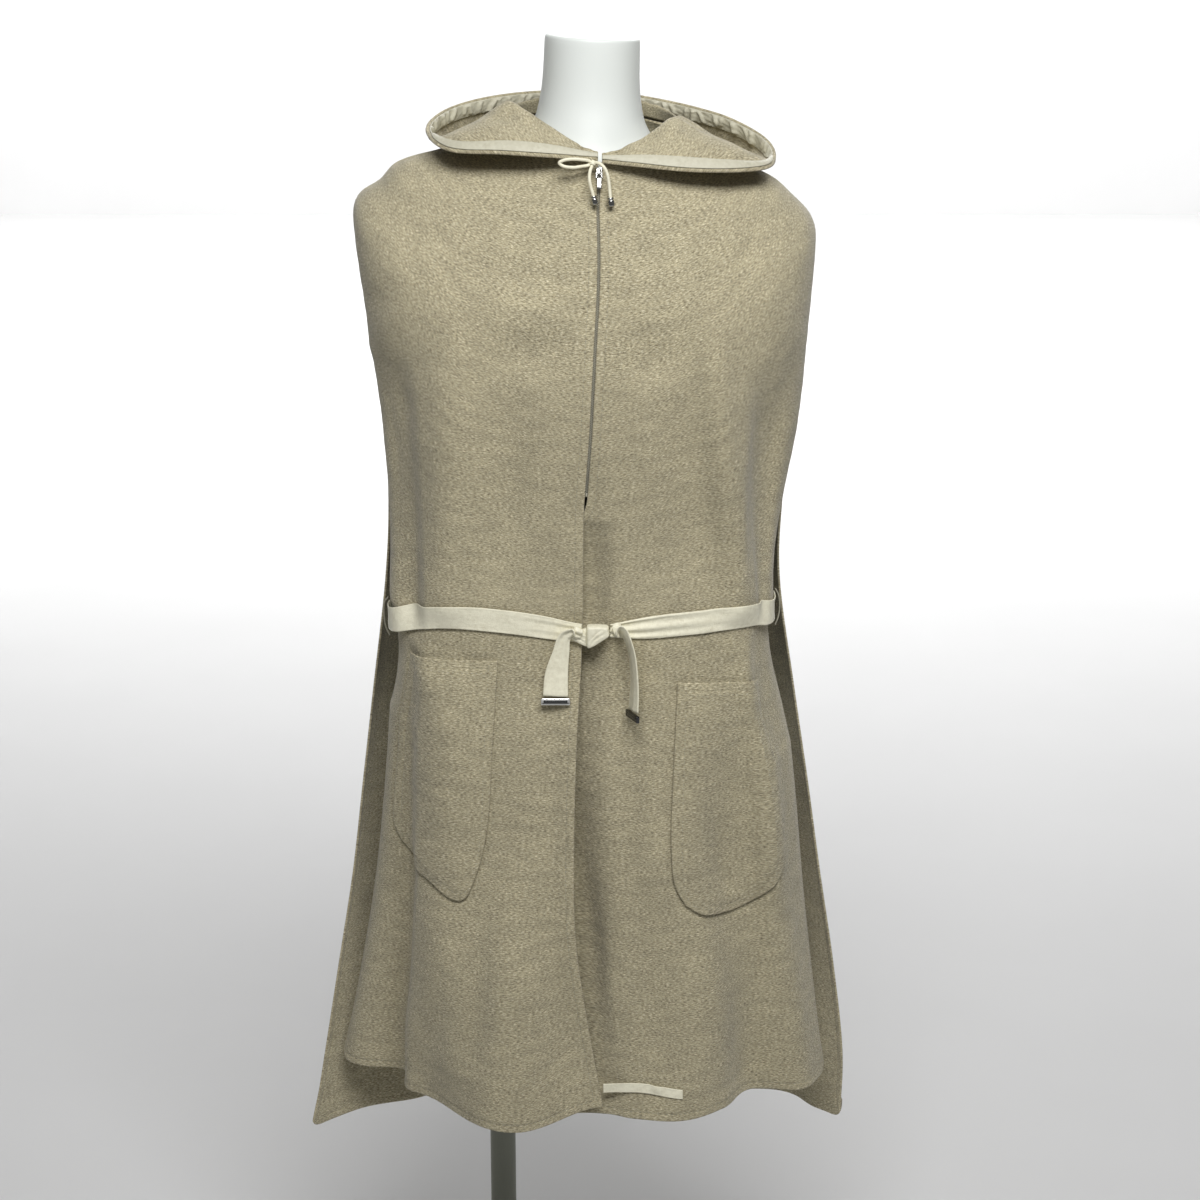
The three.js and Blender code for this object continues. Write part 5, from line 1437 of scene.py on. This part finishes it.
def zip_parts():
    v = np.linspace(0.15, ZIP_BOTTOM_ROW, 300)
    p, q = (front_face(side, 0, v) for side in (RIGHT, LEFT))
    line = stack((p[:, 0] + q[:, 0]) / 2, np.maximum(p[:, 1], q[:, 1]), p[:, 2])
    length = run(line)
    across = strip_across(ZIP_TAPE_WIDTH, (0, 0.2, 0.6, 1.2), 7)
    grid = line[:, None] + stack(across, WOOL + 1.65, 0)
    tape = dict(mid=grid, normals=grid_normals(grid, (0, -1, 0)), uv=stack(across, length[:, None]),
                half=rounded(from_edges(length, across, ZIP_TAPE_WIDTH / 2), 1.1))
    piece = cloth_piece("zip_band", tape, "zip_tape", TAPE_LOOK, "tape")
    points, faces = soft_box((1.5, 0.9, 0.75), 0.28, count=4)
    places = at_length(line, length, np.arange(3.0, length[-1] - 4, TOOTH_PITCH))
    teeth = [(points + place + [0.55 if i % 2 else -0.55, WOOL + 0.55, 0], faces)
             for i, place in enumerate(places)]
    points, faces = soft_box((2.2, 1.6, 3.4), 0.6, count=8)
    teeth.append((points + at_length(line, length, [length[-1] - 3]) + [0, WOOL - 1.2, 0], faces))
    mesh_piece("zip_teeth", *joined(teeth), THREAD_LOOK, "metal")
    for name, cad, body, rows in (("slider_body", "zip_slider", "garment", SLIDER_BOXES),
                                  ("pull_tab", "zip_pull", "zip_pull", PULL_BOXES)):
        parts = []
        for *size, x, y, z in rows:
            points, faces = soft_box(size, min(size) * 0.38, count=8)
            parts.append((turned(points + [x, y, z], math.radians(SLIDER_TILT), 1, 2) + SLIDER_PLACE, faces))
        mesh_piece(name, *joined(parts), METAL_LOOK, "metal", cad, body=body)


def dress_form():
    """The limbless form: a smooth shell with a flat neck, on a steel flange, pole and round foot."""
    z, shrink = np.linspace(FORM_BOTTOM, FORM_TOP, 190), np.ones(190)
    z[1:3] = FORM_BOTTOM + 0.6, FORM_BOTTOM + 1.6
    shrink[:3] = 0.90, 0.97, 0.992
    turn = np.linspace(0, 2 * math.pi, FORM_SIDES, endpoint=False)
    a, b = np.sin(turn), np.cos(turn)
    rings = []
    for height, k in zip(z, shrink):
        x, half, front, behind, full, lean = (float(read(FORM, "z", c, height)) for c in
                                              ("x", "half", "front", "back", "full", "lean"))
        size = (np.abs(a) ** full + np.abs(b) ** full) ** (1 / full)
        px = x + half * a / size * k
        py = np.abs(b) / size * np.where(b < 0, front, behind) * k
        rings.append(stack(px, py, height - lean * (px - x)))
    last, base = rings.pop(), np.array(NECK_MIDDLE)
    for k, drop in NECK_RINGS:
        ring = base + (last - base) * [k, k, 1]
        ring[:, 2] = base[2] - NECK_LEAN * (ring[:, 0] - base[0]) - drop
        rings.append(ring)
    mesh_piece("form_body", *loft_faces(rings, len(rings), FORM_SIDES), FORM_LOOK, "form", "form_torso")


def stand():
    """The flange under the form, the pole with its two welds, and the round foot."""
    low, flange_z = FOOT_HEIGHT + SEAM_GAP, FORM_BOTTOM - SEAM_GAP - FLANGE_HEIGHT
    tall = flange_z - SEAM_GAP - low
    flange = [(FLANGE_RADIUS - 1.5, 0), (FLANGE_RADIUS, 1.2), (FLANGE_RADIUS, FLANGE_HEIGHT)]
    pole = [(POLE_RADIUS + 2.4, 0), (POLE_RADIUS + 2.2, 0.8), (POLE_RADIUS + 1.2, 1.9), (POLE_RADIUS, 2.8),
            (POLE_RADIUS, tall - 2.4), (POLE_RADIUS + 1.4, tall - 0.8), (POLE_RADIUS + 1.8, tall)]
    foot = [(FOOT_RADIUS - 1.0, 0), (FOOT_RADIUS, 1.0), (FOOT_RADIUS, FOOT_HEIGHT - 2.4),
            (FOOT_RADIUS - 0.5, FOOT_HEIGHT - 1.0), (FOOT_RADIUS - 2, FOOT_HEIGHT)]
    for name, cad, profile, place, sides in (
            ("pole_flange", "form_flange", flange, (POLE_X, 0, flange_z), 96),
            ("steel_pole", "form_pole", pole, (POLE_X, 0, low), 64),
            ("steel_foot", "form_foot", foot, (0, 0, 0), 160)):
        mesh_piece(name, *lathe(profile, place, (0, 0, 1), sides), STEEL_LOOK, "stand_steel", cad)


fronts()
back()
hood()
pockets()
belt_fronts()
belt_back()
belt_tails()
belt_knot()
belt_loops()
hem_tab()
zip_parts()
dress_form()
stand()


# Floor and light

def studio():
    floor_look = floor_material()
    for name, corners in STUDIO.items():
        mesh = bpy.data.meshes.new(name)
        mesh.from_pydata(corners, [], [(0, 1, 2, 3)])
        mesh.materials.append(floor_look)
        plane = bpy.data.objects.new(name, mesh)
        bpy.context.scene.collection.objects.link(plane)
    for name, (place, aim, size, power) in LAMPS.items():
        lamp = bpy.data.lights.new(name, "AREA")
        lamp.shape = "RECTANGLE"
        lamp.size, lamp.size_y = size
        lamp.energy = power
        made = bpy.data.objects.new(name, lamp)
        made.location = place
        made.rotation_euler = (Vector(aim) - Vector(place)).to_track_quat("-Z", "Y").to_euler()
        bpy.context.scene.collection.objects.link(made)


studio()
world = bpy.data.worlds.new("studio")
world.use_nodes = True
world.node_tree.nodes["Background"].inputs["Color"].default_value = (1.0, 1.0, 1.0, 1)
world.node_tree.nodes["Background"].inputs["Strength"].default_value = WORLD_STRENGTH
bpy.context.scene.world = world
bpy.context.scene.view_settings.view_transform = "Standard"
